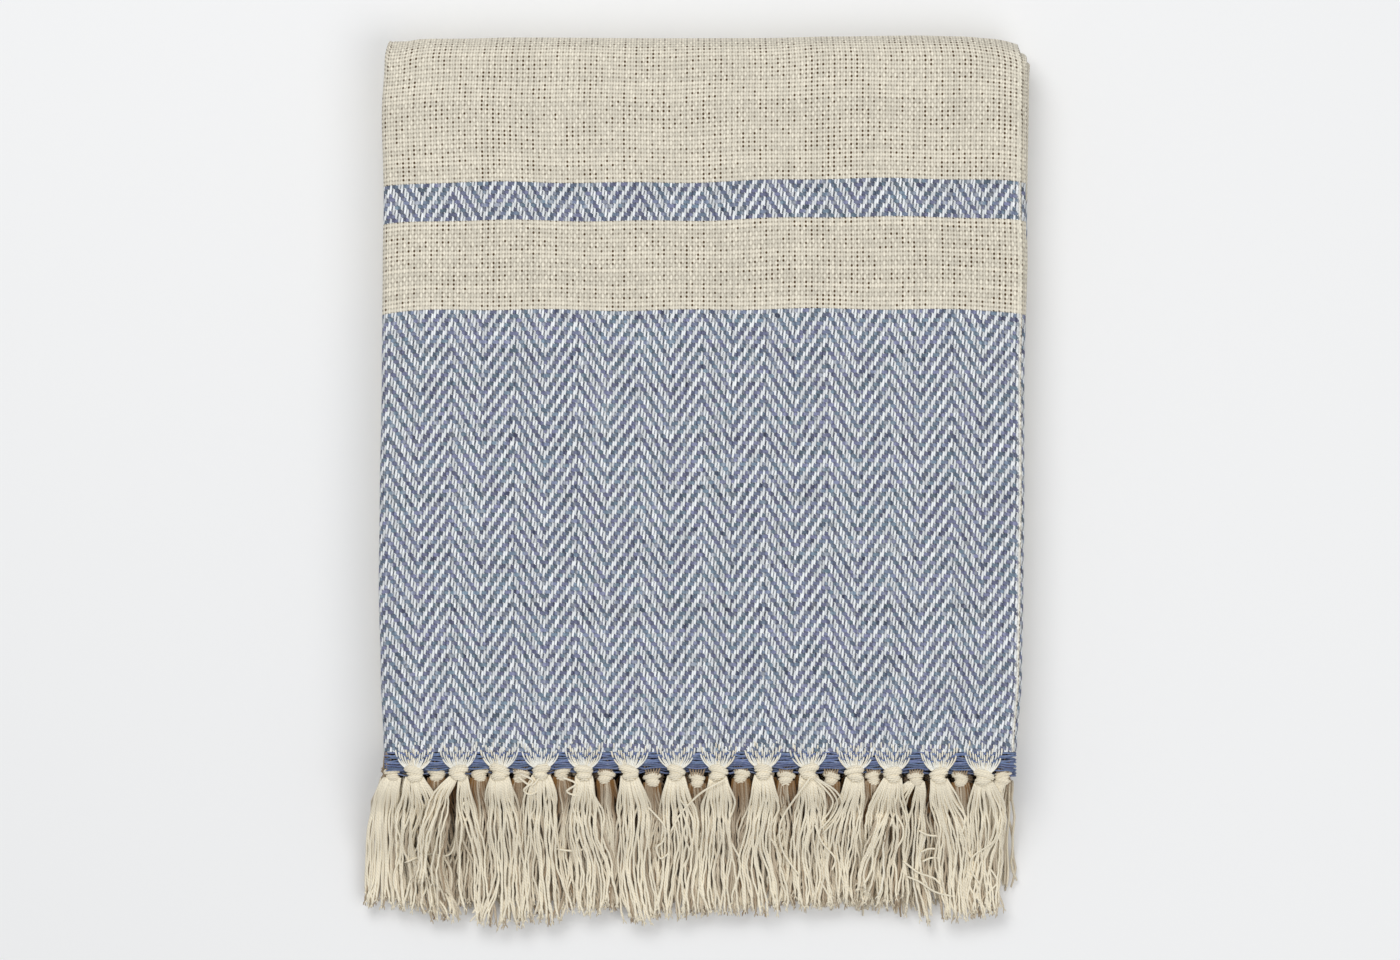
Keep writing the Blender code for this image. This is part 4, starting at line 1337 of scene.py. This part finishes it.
STRAYS = (
    # how high over the top row (mm), then points: across from the left edge, out from the cut edge (mm)
    (2.6, ((41.0, 26.0), (37.8, 37.4), (34.8, 51.0), (30.3, 54.3), (22.7, 53.3), (9.8, 57.9))),
    (2.8, ((175.0, 14.0), (162.8, 21.0), (152.4, 32.2), (147.0, 42.0))),
    (2.4, ((136.0, 29.0), (144.2, 38.9), (143.4, 46.3), (140.0, 50.0), (141.9, 55.7), (146.4, 53.0))),
    (2.8, ((219.0, 13.0), (210.0, 26.0), (203.8, 38.1), (205.3, 51.6), (214.3, 65.0))),
    (2.6, ((222.0, 38.0), (225.8, 47.2), (232.6, 55.6), (231.0, 62.0))),
    (2.4, ((318.0, 36.0), (315.2, 46.5), (304.6, 54.8), (304.0, 62.0), (309.0, 70.0))),
    (1.8, ((70.0, 11.0), (76.6, 14.6), (72.0, 19.2), (75.0, 21.8), (79.1, 20.0))),
    (1.4, ((69.0, 12.5), (74.6, 16.6), (78.0, 15.5), (80.0, 12.0))),
    (1.6, ((92.2, 13.0), (98.6, 16.1), (94.0, 20.0), (98.6, 22.4), (101.5, 20.5))),
    (2.8, ((222.0, 13.0), (232.0, 19.5), (236.0, 27.0), (232.5, 35.0), (225.8, 42.7))),
    (2.5, ((221.5, 13.0), (229.5, 19.0), (233.4, 26.0), (231.0, 33.0), (225.0, 40.0))),
    (2.2, ((221.0, 13.0), (227.0, 19.0), (231.0, 25.0), (229.5, 31.0), (224.5, 37.0))),
    (0.6, ((88.0, 50.6), (93.0, 51.6), (98.6, 51.8), (104.0, 50.4))),
    (1.6, ((270.0, 65.0), (276.6, 67.7), (285.0, 73.0), (294.0, 75.3))),
    (1.4, ((268.0, 57.0), (276.0, 63.0), (284.0, 65.8), (288.5, 70.0))),
    (0.4, ((276.0, 41.0), (281.0, 43.4), (287.5, 43.9))),
    (0.2, ((277.5, 52.5), (281.9, 50.7), (288.0, 51.2))),
    (0.2, ((278.5, 57.5), (283.0, 55.6), (289.6, 55.8))),
    (1.0, ((313.0, 60.0), (317.5, 67.7), (312.6, 73.8), (311.0, 79.5))),
    (0.8, ((50.5, 76.0), (48.8, 82.0), (43.2, 88.4))),
    (0.8, ((49.0, 79.0), (46.5, 81.5), (44.6, 84.0))),
)


def smooth_curve(points, steps):
    """A smooth line through a few points."""
    points = [np.array(point, float) for point in points]
    points = [2 * points[0] - points[1], *points, 2 * points[-1] - points[-2]]
    found = []
    for a, b, c, d in zip(points, points[1:], points[2:], points[3:]):
        for t in np.arange(steps) / steps:
            bend = (2 * a - 5 * b + 4 * c - d) * t + (3 * b - a - 3 * c + d) * t * t
            found.append(0.5 * (2 * b + (c - a + bend) * t))
    return [*found, points[-2]]


def wave_of(draws, sizes, rates):
    """One sideways wave of a strand: its size, how many there are in its length, and where it starts."""
    return draws.uniform(*sizes) * MM, draws.uniform(*rates), draws.uniform(*ANY_PHASE)


def strand_path(tassel, detail, side, under, clump, draws):
    """The way of one strand from its knot to its tip. Side runs from -1 at the left to 1."""
    row, split = tassel["row"], tassel["split"]
    share = smooth((side + 0.3) / 0.6) if split > 0 else (side + 1) / 2
    lean = tassel["lean_left"] + (tassel["lean_right"] - tassel["lean_left"]) * share
    out_start = tassel["out"] + KNOT_HIGH * STRAND_OUT_OF
    rag = (draws.uniform(*TIP_DRAW) - TIP_ROUND * side * side) * MM
    out_tip = tassel["tip"] + rag - max(0.0, split) * (1 - share)
    out_tip += min(0.0, split) * share * share
    quick = tassel["quick"] * draws.uniform(0.8, 1.2)
    middle, *clump_wave = clump
    own = STRAY_WAVE if draws.random() < STRAYING else OWN_WAVE
    waves = [clump_wave, wave_of(draws, own, OWN_RATES), wave_of(draws, *KINKS)]
    curl = draws.uniform(-1.0, 1.0) * draws.uniform(*CURL) * MM
    ripple, roll = draws.uniform(*RIPPLE) * MM, draws.uniform(*ANY_PHASE)
    settled = draws.uniform(-SETTLED, SETTLED) * MM
    spread = STRAND_SPREAD.get(row, HIDDEN_SPREAD)
    path = []
    for step in range(detail["steps"] + 1):
        t = step / detail["steps"]
        out = out_start + (out_tip - out_start) * t
        opened = 1 - (1 - t) ** quick
        waist = 1 + WAIST * math.sin(WAIST_TURN * t + tassel["phase"])
        half_wide = spread * waist + tassel["calm"] * TIP_SPREAD * t
        aside = side + (middle - side) * GATHER * smooth((t - CLUMP_FROM) / CLUMP_OVER)
        x = tassel["knot"] + aside * (STRAND_START + (half_wide - STRAND_START) * opened)
        x += lean * (tassel["early"] * opened + (1 - tassel["early"]) * t**LEAN_LATE)
        ease = smooth(t * 4)
        sway = tassel["sway"] * MM * math.sin(tassel["sways"] * t + tassel["phase"] * 2)
        sway += sum(size * math.sin(2 * math.pi * rate * t + begin) for size, rate, begin in waves)
        x += tassel["calm"] * ease * sway + curl * smooth((t - CURL_FROM) / CURL_OVER) ** 2
        crown = settled - under * UNDER_DROP / 2
        if row in BULGE:
            round_share = math.sqrt(1 - BULGE_ROUND * side * side)
            crown = BULGE[row] * (1 - BULGE_FALL * t) * round_share - under * UNDER_DROP
        crown += max(0.0, split) * (1 - share) * SPLIT_RISE * smooth((t - SPLIT_FROM) / SPLIT_OVER)
        high = row_height(row, out) + ease * (crown + ripple * math.sin(RIPPLE_TURN * t + roll))
        path.append(place((x, -out, max(high, FLOOR + YARN_THICK / 2))))
    return path


def fray_of(yarns, path, draws, bright):
    """The two plies at a strand's tip, come apart."""
    (ax, ay, az), (bx, by, bz) = path[-3], path[-1]
    for way in (-1, 1):
        aside, on = way * draws.uniform(0.2, 1.0) * MM, draws.uniform(0.3, 1.0) * FRAY
        tip_x = bx + (bx - ax) * 0.4 + aside
        end = (tip_x, by - on, max(FLOOR, bz - 0.1 * MM))
        half_way = ((bx + tip_x) / 2 + aside * 0.3, by - on * 0.4, bz)
        thread = [(ax, ay, az), (bx, by, bz), half_way, end]
        yarns.add(thread, YARN_THICK * 0.5, 4, draws.random(), bright, tip=0.5)


def strands_of(yarns, tassel, detail, draws):
    """All the strands of one tassel: the under ones first, then the upper ones."""
    total = detail["strands"] + tassel["more"]
    near, tip_end = tassel["bright"]
    under_tip = UNDER_TIP_SHADE.get(tassel["row"], PLAIN_UNDER_TIP_SHADE)
    for under, share in STRAND_LAYERS:
        count = round(total * share)
        for i in range(count):
            if i % CLUMP == 0:
                middle = (i + CLUMP / 2) / count * 2 - 1
                clump = (middle, *wave_of(draws, *CLUMP_WAVE))
            side = (i + 0.5) / count * 2 - 1 + draws.uniform(-SIDE_DRAW, SIDE_DRAW)
            path = strand_path(tassel, detail, max(-1.0, min(1.0, side)), under, clump, draws)
            own_shade = draws.uniform(*OWN_SHADE)
            # Painted light in the middle of a second-row tassel, painted shade on the under strands
            crown = SECOND_CROWN_LIGHT.get(tassel["row"], 0.0) * (1 - side * side)
            thick = YARN_THICK * draws.uniform(*THICK_DRAW)
            top_bright = min(PAINTED_LIGHT_MOST, near + own_shade + crown - UNDER_SHADE * under)
            bright = (top_bright, tip_end + own_shade - under_tip * under)
            yarns.add(path, thick, detail["sides"], draws.random(), bright, tip=0.7)
            if tassel["row"] in BULGE:
                fray_of(yarns, path, draws, bright[1])


def strays_of(yarns):
    """The strands that stray, over the top row."""
    draws = random.Random("strays")
    for lift, points in STRAYS:
        path = []
        for across, out in smooth_curve(points, 7):
            high = row_height(7, out * MM) + lift * MM
            path.append(place((OUTLINE_LEFT + across * MM, -out * MM, high)))
        yarns.add(path, STRAY_THICK, 5, draws.random(), STRAY_PAINTED_LIGHT, tip=0.4)


TASSEL_DRAWS = {"quick": (4.0, 9.0), "phase": ANY_PHASE, "sway": (1.0, 2.4), "sways": (3.0, 6.0)}
TASSEL_PIECES = {
    "a": {"tassels_a_top": (7,), "tassels_a_second": (6,), "tassels_a_lower": (5, 4)},
    "b": {"tassels_b": (0, 1, 2, 3)},
}


def fringe_of(end_name):
    """The pieces of yarn of one end: its knots, and its tassels by rows."""
    knots, pieces = Yarns(), []
    for piece_name, rows in TASSEL_PIECES[end_name].items():
        strands = Yarns()
        for row in rows:
            draws = random.Random(f"row {row}")
            detail = ROW_DETAIL.get(row, PLAIN_DETAIL)
            for tassel in ROWS[row]:
                for label, span in TASSEL_DRAWS.items():
                    tassel[label] = draws.uniform(*span)
                # Painted light: the first and last tassels of the lower rows and a few listed tassels are
                # painted less shaded
                usual = STRAND_PAINTED_LIGHT.get(row, PLAIN_STRAND_PAINTED_LIGHT)
                if row < 7 and tassel in (ROWS[row][0], ROWS[row][-1]):
                    usual = EDGE_PAINTED_LIGHT
                tassel["bright"] = PAINTED_LIGHT_TASSELS.get((row, tassel["number"]), usual)
                fan_of(knots, tassel, detail, draws, FACINGS[end_name][1])
                knot_of(knots, tassel, detail, draws)
                strands_of(strands, tassel, detail, draws)
        if 7 in rows:
            strays_of(strands)
        pieces.append(strands.finish(piece_name, cream_yarn))
    return [knots.finish(f"knots_{end_name}", cream_yarn), *pieces]


fringes = {name: fringe_of(name) for name in FACINGS}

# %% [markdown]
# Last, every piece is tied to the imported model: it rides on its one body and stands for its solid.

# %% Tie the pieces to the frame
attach(cloth, "root")
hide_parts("cloth")
for name in FACINGS:
    for piece in (headers[name], *fringes[name]):
        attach(piece, "root")
        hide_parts(f"fringe_end_{name}")
